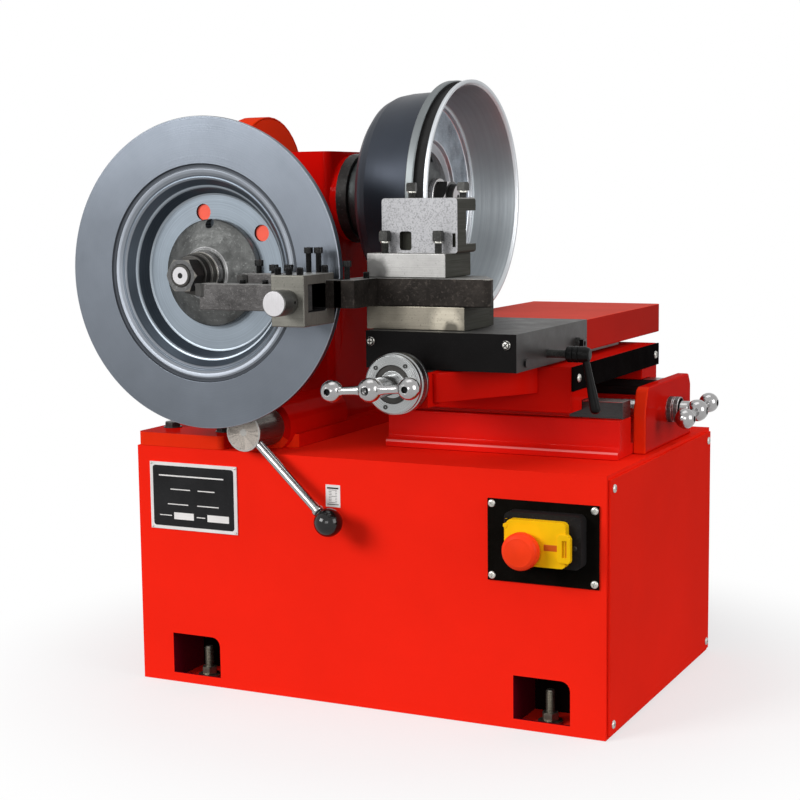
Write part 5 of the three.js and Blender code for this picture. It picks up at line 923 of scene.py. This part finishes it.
dress("disc_spacer", spacer, "bright_steel", [
    ("nut_dark", disc_ring(12, 25, -241, -231.5)), ("shaft_steel", disc_ring(12, 25, -231.6, -222.5)),
])
dress("disc_nut", nut_shape("y", 19, DISC_BORE, -258.4, -241.2, *DISC), "nut_dark", [
    ("collar_dark", facing("y", -1, 0.9)), ("shaft_steel", lambda c, n: 0.25 < -n.y < 0.9),
])
arbor = disc_lathe([
    (0, -259.75), (2.6, -259.75), (3.0, -259.9), (9.2, -259.9), (11.2, -259.9), (12.1, -259.1),
    (12.1, -256), (11.4, -255), (11.4, -250), (0, -250),
], sides=64, reach=0.2)
piece("disc_arbor_end", arbor, "disc_work", "nut_dark", zones=[
    ("groove_painted_shade", disc_ring(0, 2.9)), ("nut_bright", disc_ring(3, 9.2, -260, -259.8)),
])

# Brake drum and its spindle end
drum = drum_lathe([
    (DRUM_BORE, -27), (67.5, -27), (69.5, -30), (71, -44), (74, -52), (80, -57), (94, -58), (104, -55.5),
    (111.5, -49), (116.5, -38), (118.6, -24), (119.5, -4), (120, 14), (122, 17.4), (124.6, 18.6),
    (130.6, 19), (131.6, 20), (131.6, 27.6), (130.6, 28.6), (126.4, 29), (126.4, 40.4), (131.2, 41),
    (132, 41.8), (132, 45.4), (131.4, 46), (129.4, 46), (128.4, 45.4), (126, 42.6), (123.4, 36),
    (120.8, 26), (115.6, 6), (111.4, -4), (109.8, -5.4), (107.6, -5.8), (106.6, -9), (105.6, -10),
    (67.4, -10), (66.2, -10.4), (64.6, -14), (63.4, -14.4), (54.4, -14.4), (53.4, -15), (53.2, -19),
    (DRUM_BORE, -19), (DRUM_BORE, -27),
], sides=200, reach=0.3, steps=1)
piece("drum_visual", drum, "drum_work", "drum_outer", ("brake_drum",), [
    ("rim_bright", drum_ring(126.5, 133, 41.0)),
    ("groove_painted_shade", drum_ring(126, 131.2, 28.7, 41)),
    ("lip_grey", drum_ring(122, 132, 18, 29)),
    ("drum_inner", lambda c, n: n.y * (c.y - DRUM[0]) + n.z * (c.z - DRUM[1]) < 0 and c.x > -5),
    ("drum_step", drum_ring(105.8, 111.6, -11, -4)),
    ("drum_step", drum_ring(64, 67.3, -14.5, -9.5)),
    ("drum_hub", drum_ring(53, 64.2, -16, -13.5)),
    ("drum_web", drum_ring(0, 106, -19.5, -9)),
])
dress("drum_back_bell", drum_lathe([
    (DRUM_BORE, -94.4), (47, -94.4), (48, -93.4), (48.6, -86), (56, -66), (64, -48), (66, -43.5),
    (66, -27.3), (58, -27.3), (42, -78), (DRUM_BORE, -78), (DRUM_BORE, -94.4),
], sides=120, reach=2.4, steps=3), "bell_green")
plate = drum_lathe([
    (DRUM_BORE, -18.7), (51.4, -18.7), (52, -18), (52, -13.4), (51, -12.6), (45, -10.6), (33, -5.6),
    (30, -4.7), (DRUM_BORE, -4.7), (DRUM_BORE, -18.7),
], sides=120, reach=0.8, steps=2)
plate = cut(plate, *[round_bar("x", 3.9, -22, 0, DRUM[0], DRUM[1] + rise, 32, 0) for rise in (44, -44)])
dress("drum_clamp_plate", plate, "plate_dark", [
    ("bell_edge", drum_ring(51.2, 53)),
])
spindle = taken("drum_spindle")
bmesh.ops.bisect_plane(
    spindle, geom=spindle.verts[:] + spindle.edges[:] + spindle.faces[:], plane_co=(23.6, 0, 0),
    plane_no=RIGHT, clear_outer=True, dist=0.001,
)
bmesh.ops.holes_fill(spindle, edges=[edge for edge in spindle.edges if edge.is_boundary], sides=0)
dress("drum_spindle", spindle, "dark_iron")
dress("drum_spacer", drum_lathe([
    (DRUM_BORE, -4.4), (22, -4.4), (22, 1.4), (21.2, 2), (DRUM_BORE, 2), (DRUM_BORE, -4.4),
], sides=80, reach=0.3), "bright_steel")
dress("drum_nut", nut_shape("x", 21, DRUM_BORE, 2.2, 16.4, *DRUM), "nut_dark", [
    ("collar_dark", facing("x", 1, 0.9)), ("nut_bright", lambda c, n: 0.25 < n.x < 0.9),
])
arbor = drum_lathe([
    (0, 23.85), (2.8, 23.85), (3.2, 24), (14, 24), (15.1, 23), (15.1, 18.4), (14.4, 17.9), (14.4, 15),
    (0, 15),
], sides=64, reach=0.2)
piece("drum_arbor_end", arbor, "drum_work", "nut_dark", zones=[
    ("groove_painted_shade", drum_ring(0, 3.1)), ("nut_bright", drum_ring(3.2, 13.8, 23.9, 24.2)),
])

# Shift lever
shaft = lathe("y", [
    (0, -201.8), (3, -201.8), (3.6, -203), (19.4, -203), (21, -201.4), (21, -153), (20, -150.3),
    (0, -150.3),
], *LEVER, sides=80, reach=0.4)
piece("shift_shaft_visual", shaft, body_of("shift_rod"), "shaft_steel", zones=[
    ("lever_face", ring("y", *LEVER, 3.7, 19.8, -203.2, -202.8)),
    ("groove_painted_shade", ring("y", *LEVER, 0, 3.7, -204, -201)),
])
foot, tip = Vector((LEVER[0], -194, LEVER[1])), Vector((-19.5, -216, 206.5))
run = (tip - foot).normalized()
rod = tube([foot, foot + run * 60, tip - run * 14, tip - run * 13], [5] * 4, 28)
collar = stand(lathe("z", [
    (0, 0), (6.4, 0), (6.4, 3), (5.6, 4), (0, 4),
], sides=36, reach=0.3), tip - run * 19.5, run)
dress("shift_rod", merged(rod, collar), "chrome")
ball = lathe("z", [
    (0, -15.8), (6, -15.8), (6.4, -14.4), (5.9, -14), *arc(15.3, 0.42, 0.11, 25), (0, 15.3),
], sides=56, reach=0)
ball = stand(ball, tip, run)
dress("shift_knob", ball, "knob_black")


# Ball cranks, dial and collars
def three_ball_crank(node, way, hub, neck_end, reach):
    """A hub ball on a neck, with a thin arm to a ball on each side; way is where the hub's face looks."""
    hub_ball, end_ball, tilt = 12, 11, math.radians(4)
    way, hub = Vector(way), Vector(hub)
    across = Vector((abs(way.y), abs(way.x), 0))
    side = across * math.cos(tilt) + Vector((0, 0, math.sin(tilt)))
    depth = (hub - Vector(neck_end)).length
    neck = lathe("z", [
        (0, 0), (9.2, 0), (10, 0.8), (10, depth - 10), (8.8, depth - 8.4),
        *arc(hub_ball, 0.95, 0.12, 16, depth), (4.2, depth + hub_ball * 0.94),
        (3.6, depth + hub_ball * 0.5), (0, depth + hub_ball * 0.4),
    ], sides=56, reach=0.2)
    shapes = [stand(neck, neck_end, way)]
    arm_end = reach - end_ball
    arm = lathe("z", [
        (0, 0), (6.4, 0), (5.2, hub_ball), (4.4, hub_ball + 4), (4.1, arm_end - 1), (5.2, arm_end + 2),
        (0, arm_end + 2),
    ], sides=40, reach=1.2, steps=3)
    knob = lathe("z", [
        (0, -end_ball * 0.93), *arc(end_ball, 0.35, 0.105, 24), (3.4, end_ball * 0.92),
        (3.0, end_ball * 0.55), (0, end_ball * 0.45),
    ], sides=48, reach=0)
    for out in (-side, side):
        shapes += [stand(arm, hub, out), stand(knob, hub + out * reach, way)]

    def socket(place, ball, radius):
        def test(centre, normal):
            off = centre - place
            rise = off.dot(way)
            return rise > ball * 0.3 and (off - way * rise).length < radius

        return test

    # The sockets in the balls are near black, painted shade
    dress(node, merged(*shapes), "chrome", [
        ("socket_painted_shade", socket(hub, hub_ball, 3.7)),
        *[("socket_painted_shade", socket(hub + out * reach, end_ball, 3.2)) for out in (-side, side)],
    ])


three_ball_crank("feed_crank", RIGHT, (303, *FEED), (284.6, *FEED), 46)
three_ball_crank("cross_crank", FRONT, (CROSS[0], -306, CROSS[1]), (CROSS[0], -255.6, CROSS[1]), 42)


def feed_collar(low):
    """A knurled collar with plain edges on the feed screw."""
    plain = lathe("x", [
        (0, low), (13, low), (13.9, low + 0.9), (13.9, low + 5.1), (13, low + 6), (0, low + 6),
    ], *FEED, 64, 0.2)
    return merged(knurled("x", 14.3, low + 0.8, low + 5.2, *FEED), plain)


collars = merged(feed_collar(271.3), feed_collar(278.3))
piece("feed_collars", collars, body_of("feed_screw"), "collar_dark")

dial = lathe("y", [
    (7.3, -257.5), (13.5, -257.5), (14, -256.6), (19, -256.6), (19.6, -258), (28.6, -258), (30.4, -256.2),
    (30.4, -252.4), (29.4, -251.8), (29.4, -250.6), (31, -249.8), (31, -241.3), (30.2, -240.8),
    (29.4, -240.6), (29.4, -239.4), (30.4, -238.8), (30.4, -235), (29.8, -234.3), (7.3, -234.3),
    (7.3, -257.5),
], *CROSS, sides=120, reach=0.2, steps=1)
dress("cross_dial", dial, "dial_chrome", [
    ("groove_painted_shade", ring("y", *CROSS, 28, 29.9, -252, -250.3)),
    ("groove_painted_shade", ring("y", *CROSS, 28, 29.9, -240.9, -239)),
    ("nut_dark", ring("y", *CROSS, 13.8, 19.4, -258, -256)),
])
ticks = []
for i in range(60):
    length = 6.4 if i % 10 == 0 else 5 if i % 5 == 0 else 3.4
    mark = block(-0.22, 0.22, 0, length, 30.9, 31.06, 0)
    turn = Matrix.Translation((CROSS[0], -249.4, CROSS[1])) @ Matrix.Rotation(i / 60 * math.tau, 4, "Y")
    bmesh.ops.transform(mark, matrix=turn, verts=mark.verts)
    ticks.append(mark)
piece("cross_dial_marks", merged(*ticks), body_of("cross_dial"), "ink")
piece("cross_dial_screws", row(set_screw(2.2, 1.6), [
    (CROSS[0] + 24 * math.cos(a), -257.6, CROSS[1] + 24 * math.sin(a)) for a in (0.9, 2.4, 4.4)
], FRONT), body_of("cross_dial"), "bolt_black")

# Cabinet, headstock and slide castings
WINDOW = ((176.5, 239.5), (-184.4, -110), (10, 57))


def in_window(c):
    """Whether a place is on the inner faces of a foot window."""
    return all(low < value < high for value, (low, high) in zip((abs(c.x), c.y, c.z), WINDOW))


# The foot windows' back walls and ceilings are painted black and their other inner faces dark red: painted
# shade in the recesses
refined("base_cabinet", "red_sheet", 1.1, 3, zones=[
    ("window_black_painted_shade", lambda c, n: in_window(c) and (n.y < -0.5 or n.z < -0.5)),
    ("window_red_painted_shade", lambda c, n: in_window(c)),
])
refined("belt_guard", "red_guard", 1.0, 3)
piece("belt_guard_inner_cover", lathe("x", [
    (13, -252.4), (79.5, -252.4), (79.5, -250.6), (13, -250.6), (13, -252.4),
], 74, 562.05, 120, 0.2), "base", "red_guard")
# The headstock's upper part takes a darker red as painted shade, and the front faces of its foot a brighter
# red as painted front light
refined("headstock_casting", "red_cast_painted_shade", 2.4, 4, zones=[
    ("bright_red_and_painted_front_light", lambda c, n: n.y < -0.5 and c.y < -130 and c.z < 290),
    ("red_tower_painted_shade", lambda c, n: c.z > 300),
])
refined("gearbox_cover", "red_cast_painted_shade", 1.6, 3)
bed_line = [
    (-92, 270.4), (-92, 276.6), (-90.8, 278.2), (-85.6, 280.2), (-84, 282.4), (-84, 311), (-48, 311),
    (-48, 282.3), (132, 282.3), (132, 311), (168, 311), (168, 282.4), (169.6, 280.2), (174.8, 278.2),
    (176, 276.6), (176, 270.4),
]
boss = round_bar("x", 18, -13, 5, *FEED, 64, 1.2)
# The bed's slanted front ledge takes a pale pink, a painted highlight line
dress("slide_bed", merged(
    prism("x", bed_line, -13, 256.7, 0.9, 3), block(-13, 5, -48.5, 132.5, 282, 310.9, 0.8), boss,
), "bed_red_painted_shade", [("red_painted_highlight", lambda c, n: n.y < -0.1 and n.z > 0.25 and c.y < -90.6 and c.z < 283)])
refined("bed_ways", "way_steel", 0.7, 2, zones=[
    ("way_top", facing("z", 1, 0.9, 329)), ("bed_red_painted_shade", lambda c, n: n.y < -0.9 and c.y < 0 and c.x < 150),
])
piece("way_end_face", block(198, 256.4, -76.5, -75.8, 312, 329.2, 0.1), "base", "way_steel")
# The end bracket's front faces take the brighter red, painted front light
refined("end_bracket", "red_cast_painted_shade", 2.0, 3, zones=[("bright_red_and_painted_front_light", lambda c, n: n.y < -0.35)])
refined("saddle", "red_cast_painted_shade", 1.4, 3)
refined("cross_bracket", "red_cast_painted_shade", 1.6, 3)
gusset = prism("z", [
    (106.1, -222), (110, -223), (114, -220), (176, -112), (174, -110.4), (106.1, -110.4),
], 340, 369.9, 1.2, 2)
piece("cross_bracket_gusset", gusset, "saddle_unit", "red_cast_painted_shade")
refined("cross_slide", "slide_iron", 0.8, 2)
# The rear cover is a darker red as painted shade, and its top faces take a brighter red as painted light
# from above
refined("slide_rear_cover", "red_cover_painted_shade", 1.2, 3, zones=[("red_top_painted_light", facing("z", 1))])
# The cover's top takes a paler black as painted light and its front a darker black as painted shade
refined("slide_front_cover", "black_sheet", 0.7, 2, zones=[
    ("black_top_painted_light", facing("z", 1, 0.7, 400)), ("cover_front_painted_shade", facing("y", -1, 0.8)),
])
piece("bracket_strip", block(53.5, 102.5, -224, -203.5, 370.45, 371.1, 0.2), "saddle_unit", "way_top")
refined("switch_box", "box_grey", 0.8, 3)
refined("switch_flap", "yellow", 1.1, 3)

dress("side_cover", block(277.3, 280, -181, 181, 4, 266, 0.6), "red_sheet")
side_screws = [(280, y, z) for y in (-171, 171) for z in (14, 256)]
piece("side_cover_screws", row(pan_head(4.5, 2.2), side_screws, RIGHT), "base", "screw_bright")

foot_top = 285.2
foot_bolts = [
    (-262, -140, foot_top), (-186, -149, foot_top), (-116, -62, foot_top), (-107.3, 132, foot_top),
    (-262, 132, foot_top),
]
piece("foot_bolts", row(hex_head(9.5, 6.6, 1.2), foot_bolts), "base", "bolt_black")
rear_bolts = [(x, 126.3, z) for x in (-244, -121) for z in (294, 443, 592)]
piece("gearbox_cover_bolts", row(hex_head(6, 4.4, 0.8), rear_bolts, BACK), "base", "bolt_black")

for side, place in STUDS.items():
    stud = stand(threaded(5, 0, 38, 1.75), (*place, 0))
    washer = lathe("z", [(6.4, 3.3), (13, 3.3), (13, 5.7), (6.4, 5.7), (6.4, 3.3)], *place, 48, 0.3)
    nut = nut_shape("z", 9, 5.2, 5.9, 14.6, *place)
    piece("anchor_" + side, merged(stud, washer, nut), "base", "bolt_zinc", ("anchor_stud_" + side,))

# Nameplate and scale label
dress("nameplate", block(-263.3, -149.3, -186.6, -185.3, 176.5, 252.8, 0.3), "label_white")
field = prism("y", rounded(-259.2, -153.4, 180.4, 249.0, 3.4), -186.85, -186.3, 0)
piece("nameplate_field", field, "base", "plate_black")
nameplate_text = [
    (-251, -166, 237, 238.5), (-236, -210, 222, 223.1), (-200, -178, 222, 223.1), (-240, -213, 205, 206.1),
    (-201, -173, 205, 206.1), (-251, -235, 192, 193), (-202, -191, 192, 193), (-232, -206, 188.6, 196.4),
    (-188, -160, 188.6, 196.4),
]
piece("nameplate_lines", merged(*[
    block(u0, u1, -187, -186.8, v0, v1, 0) for u0, u1, v0, v1 in nameplate_text
]), "base", "label_white")
rivet = lathe("z", [(0, 0), (1.4, 0), (1.2, 0.6), (0.8, 0.9), (0, 1)], sides=20)
rivets = [(x, -186.6, z) for x in (-261.1, -151.5) for z in (178.6, 250.8)]
piece("nameplate_rivets", row(rivet, rivets, FRONT), "base", "screw_bright")

piece("scale_label", block(-38.4, -21, -185.75, -185.05, 216.9, 241, 0.1), "base", "label_white")
bars = [(-36.6, -22.8, 236.6, 1.6), (-36.6, -22.8, 219.4, 0.8)]
for i in range(9):
    length, v = 6 if i % 4 == 0 else 3.4, 221.6 + i * 1.7
    bars += [(-34.6, -34.6 + length, v, 0.4), (-24.8 - length * 0.6, -24.8, v, 0.4)]
marks = [block(u0, u1, -185.85, -185.7, v, v + tall, 0) for u0, u1, v, tall in bars]
piece("scale_marks", merged(*marks), "base", "ink")

# Switch
dress("switch_plate", block(150, 270, -187.3, -185.3, 155, 240, 0.5), "black_rough")
piece("switch_plate_screws", row(
    pan_head(4.1, 1.9), [(x, -187.3, z) for x in (155, 265.5) for z in (160.5, 235)], FRONT,
), "base", "screw_bright")
piece("switch_box_screw", row(pan_head(2.6, 1.2), [(250.5, -203.5, 199)], FRONT), "base", "bolt_black")
dress("stop_button", lathe("y", [
    (0, -232.4), (7, -232.2), (13.5, -231.2), (14.2, -231.3), (15, -230.9), (17.6, -229.4), (19, -227),
    (19, -219.6), (18, -218.4), (8, -218.4), (8, -209.2), (0, -209.2),
], *STOP, sides=72, reach=0.5), "button_red")
latch = prism("y", [
    (248.6, 185.5), (250.4, 188), (250.4, 211), (247.6, 214.4), (238.6, 214.4), (236.2, 211), (236.2, 188),
    (238.6, 185.5),
], -216.4, -210.5, 0.8)
latch = cut(latch, block(241.6, 246.4, -218, -213.4, 191.5, 208.5, 0))
piece("switch_latch", latch, body_of("switch_flap"), "yellow", zones=[
    ("recess_orange", lambda c, n: c.y > -213.6 and c.y < -213.2 and n.y < -0.5),
])
recess = block(221.5, 236.4, -214.2, -212, 196.4, 203, 0.6)
piece("switch_recess", recess, body_of("switch_flap"), "recess_orange")
pegs = [round_bar("y", 2.4, -214.6, -208, 180.6, z, 24, 0.5) for z in (186, 219)]
piece("switch_pegs", merged(*pegs), body_of("switch_flap"), "yellow")

# Slide covers and clamp
piece("front_cover_screws", row(pan_head(4.9, 2.6), [
    (28.5, -205.9, 398.5), (179, -205.9, 398.5),
], FRONT), "cross_unit", "screw_bright")
piece("front_cover_bolts", merged(
    stand(pan_head(4.5, 2.2), (190, -182, 379), RIGHT),
    stand(hex_head(6.4, 4.4), (190, -32, 386), RIGHT),
    stand(threaded(3.5, 0, 9, 1.2), (190, -32, 386), RIGHT),
), "cross_unit", "bolt_black")
piece(
    "side_panel", block(212.3, 214.8, -110, 185, 343, 368.5, 0.5), "saddle_unit", "panel_black",
    ("saddle_side_cover",),
)
piece("side_panel_screws", row(pan_head(4.6, 2.3), [
    (214.8, -95, 355.75), (214.8, 170, 355.75),
], RIGHT), "saddle_unit", "screw_bright")
hub = lathe("z", [
    (0, 0), (7.2, 0), (8.5, 1.2), (8.5, 6), (7.6, 7), (8.5, 8), (8.5, 12), (7.6, 13), (8.5, 14),
    (8.5, 19.5), (7, 24), (5, 25), (0, 25),
], sides=48, reach=0.4)
arm_foot, arm_tip = Vector((230.5, -119, 381)), Vector((242.2, -119, 325))
arm_way = arm_tip - arm_foot
arm_shape = {0: 4.4, 0.12: 3.8, 0.5: 4.4, 0.85: 5.4, 0.95: 5.7, 1: 5.3, 1.03: 4, 1.05: 1.8}
arm = tube([arm_foot + arm_way * t for t in arm_shape], list(arm_shape.values()), 32)
stud = stand(threaded(4.4, 0, 24, 1.25), (188, -119, 383), RIGHT)
dress("clamp_lever", merged(stand(hub, (211, -119, 383), RIGHT), arm), "black_plastic")
piece("clamp_stud", stud, body_of("clamp_lever"), "bolt_black")

# Tool stack
piece("tool_base_visual", merged(
    block(16, 127, -190, -124, 409.8, 434, 1.0), block(44, 124, -124.2, -106, 409.9, 441, 0.8),
), body_of("tool_base_block"), "olive_steel", ("tool_base_block",), [
    ("base_face", lambda c, n: n.y < -0.7 and c.y < -189), ("steel_y", facing("z", 1)),
])
twin_outline = [(6, -192), (150, -192), (155, -187), (155, -181), (126, -130), (6, -130)]
twin = merged(
    prism("z", twin_outline, 434.3, 463, 1.2, 3),
    block(6, 30, -244, -180, 434.4, 462.9, 1.0),
    block(-22, 16, -244, -226, 434.4, 462.9, 1.0),
)
fork = block(-40, -2, -290, -226, 418, 470, 1.4, 3)
fork = cut(fork, block(-50, 10, -281, -244, 432.5, 460, 0))
fork = softened(fork, 0.8)
body = body_of("twin_cutter_body")
# The upward bevels at the body's right end are paler
piece("twin_body_visual", twin, body, "twin_iron", ("twin_cutter_body",), [
    ("arm_top", facing("z", 1)), ("pale_end_bevel", lambda c, n: c.x > 149 and n.z > 0.2 and n.z < 0.9),
])
# The inner walls of the fork's slot are near black, painted shade
piece("twin_fork_visual", fork, body, "fork_iron", zones=[
    ("fork_slot_painted_shade", lambda c, n: -281.5 < c.y < -243.5 and 432 < c.z < 460.5 and abs(n.x) < 0.5),
    ("fork_face", facing("y", -1, 0.5)), ("fork_top", facing("z", 1, 0.5)),
])

fork_seat = 469.6
piece("twin_screws", merged(
    *[stand(cap_screw(3.1, 26), (x, y, fork_seat)) for x, y in ((-26, -236), (-15, -235))],
    *[stand(set_screw(3.6, 8), (x, -285.5, fork_seat)) for x in (-33.6, -21, -8.4)],
    stand(cap_screw(3.0, 19), (13, -226, 462.6)),
    stand(set_screw(3.6, 8), (-8, -235, fork_seat)),
    stand(set_screw(3.4, 7), (24, -205, 462.6)),
), body, "screw_black")

body = body_of("front_cutter_arm")
front_bar = merged(
    block(-127, -40.3, -286, -268, 433, 460, 1.0, 3), block(-48, -8, -277, -262, 433, 459.7, 0.6),
)
piece("front_arm_visual", front_bar, body, "arm_iron", ("front_cutter_arm",), [
    ("arm_top", facing("z", 1, 0.5)),
])
piece("front_arm_screws", row(
    set_screw(3.5, 4.2), [(-120 + 79.7 * (i + 0.5) / 3, -277, 459.8) for i in range(3)],
), body, "screw_black")

piece("front_bit", carbide_bit(-133, -288, -262, 446.7), body, "bit_steel")
body = body_of("rear_cutter_arm")
rear_bar = block(-100, -40.3, -246, -228, 440, 468.6, 1.0, 3)
piece("rear_arm_visual", rear_bar, body, "arm_iron", ("rear_cutter_arm",), [
    ("arm_top", facing("z", 1, 0.5)),
])
piece("rear_arm_screws", merged(
    stand(cap_screw(3.1, 14), (-84.2, -237, 468.3)),
    *[stand(cap_screw(3.3, 9.4), (x, -237, 468.3)) for x in (-66.6, -49)],
), body, "screw_black")
piece("rear_bit", carbide_bit(-106, -250, -228, 454), body, "bit_steel")

knob = merged(knurled("y", 13.5, -315.4, -300.5, *KNOB, teeth=56, depth=0.45), lathe("y", [
    (0, -317), (12.2, -317), (13.1, -316), (13.1, -300), (12.4, -299.4), (12.4, -291), (11.8, -290.3),
    (0, -290.3),
], *KNOB, sides=72, reach=0.3), round_bar("y", 4, -291, -262, *KNOB, 28, 0.3))
knob = cut(knob, round_bar("x", 1.8, KNOB[0] + 5, KNOB[0] + 20, -296, KNOB[1], 20, 0))
dress("depth_knob", knob, "knob_steel", [
    ("nut_bright", facing("y", -1, 0.9, -318, -316)),
])

body = body_of("tool_post")
upright = cut(
    prism("y", rounded(26, 112, 487.5, 544, 3.5), -172, -125, 0),
    block(0, 140, -150, -100, 496.5, 530.5, 0),
    prism("y", rounded(46.5, 60, 490.5, 510, 3), -180, -164.5, 0),
    block(106.4, 109.8, -180, -168, 494, 508, 0),
)
post = merged(block(17, 106, -190, -125, 463.3, 488, 0.9, 3), softened(upright, 0.8))
dress("tool_post", post, "olive_steel", [
    ("post_face", lambda c, n: n.y < -0.7 and -172.6 < c.y < -171.4),
    ("plate_face", lambda c, n: n.y < -0.7 and c.y < -189),
    ("plate_top", facing("z", 1)),
    ("arm_top", lambda c, n: c.y < -188 and c.z > 463),
])
post_bolt = square_head(4.7, 12, 11, 3.9)
low_bolt = square_head(4.7, 7, 9, 3.9)
placed_bolts = [
    (post_bolt, (34, -181, 488), 0.0), (post_bolt, (94.5, -181, 488), 0.12),
    (low_bolt, (44, -137, 544), 0.2), (low_bolt, (103, -137, 544), -0.1),
]
bolts = merged(*[stand(bolt, at, spin=turn) for bolt, at, turn in placed_bolts])
piece("tool_post_bolts", bolts, body, "bolt_black", zones=[
    ("screw_bright", lambda c, n: min(abs(c.z - 499), abs(c.z - 550)) < 1.1 and n.z < 0.5),
])
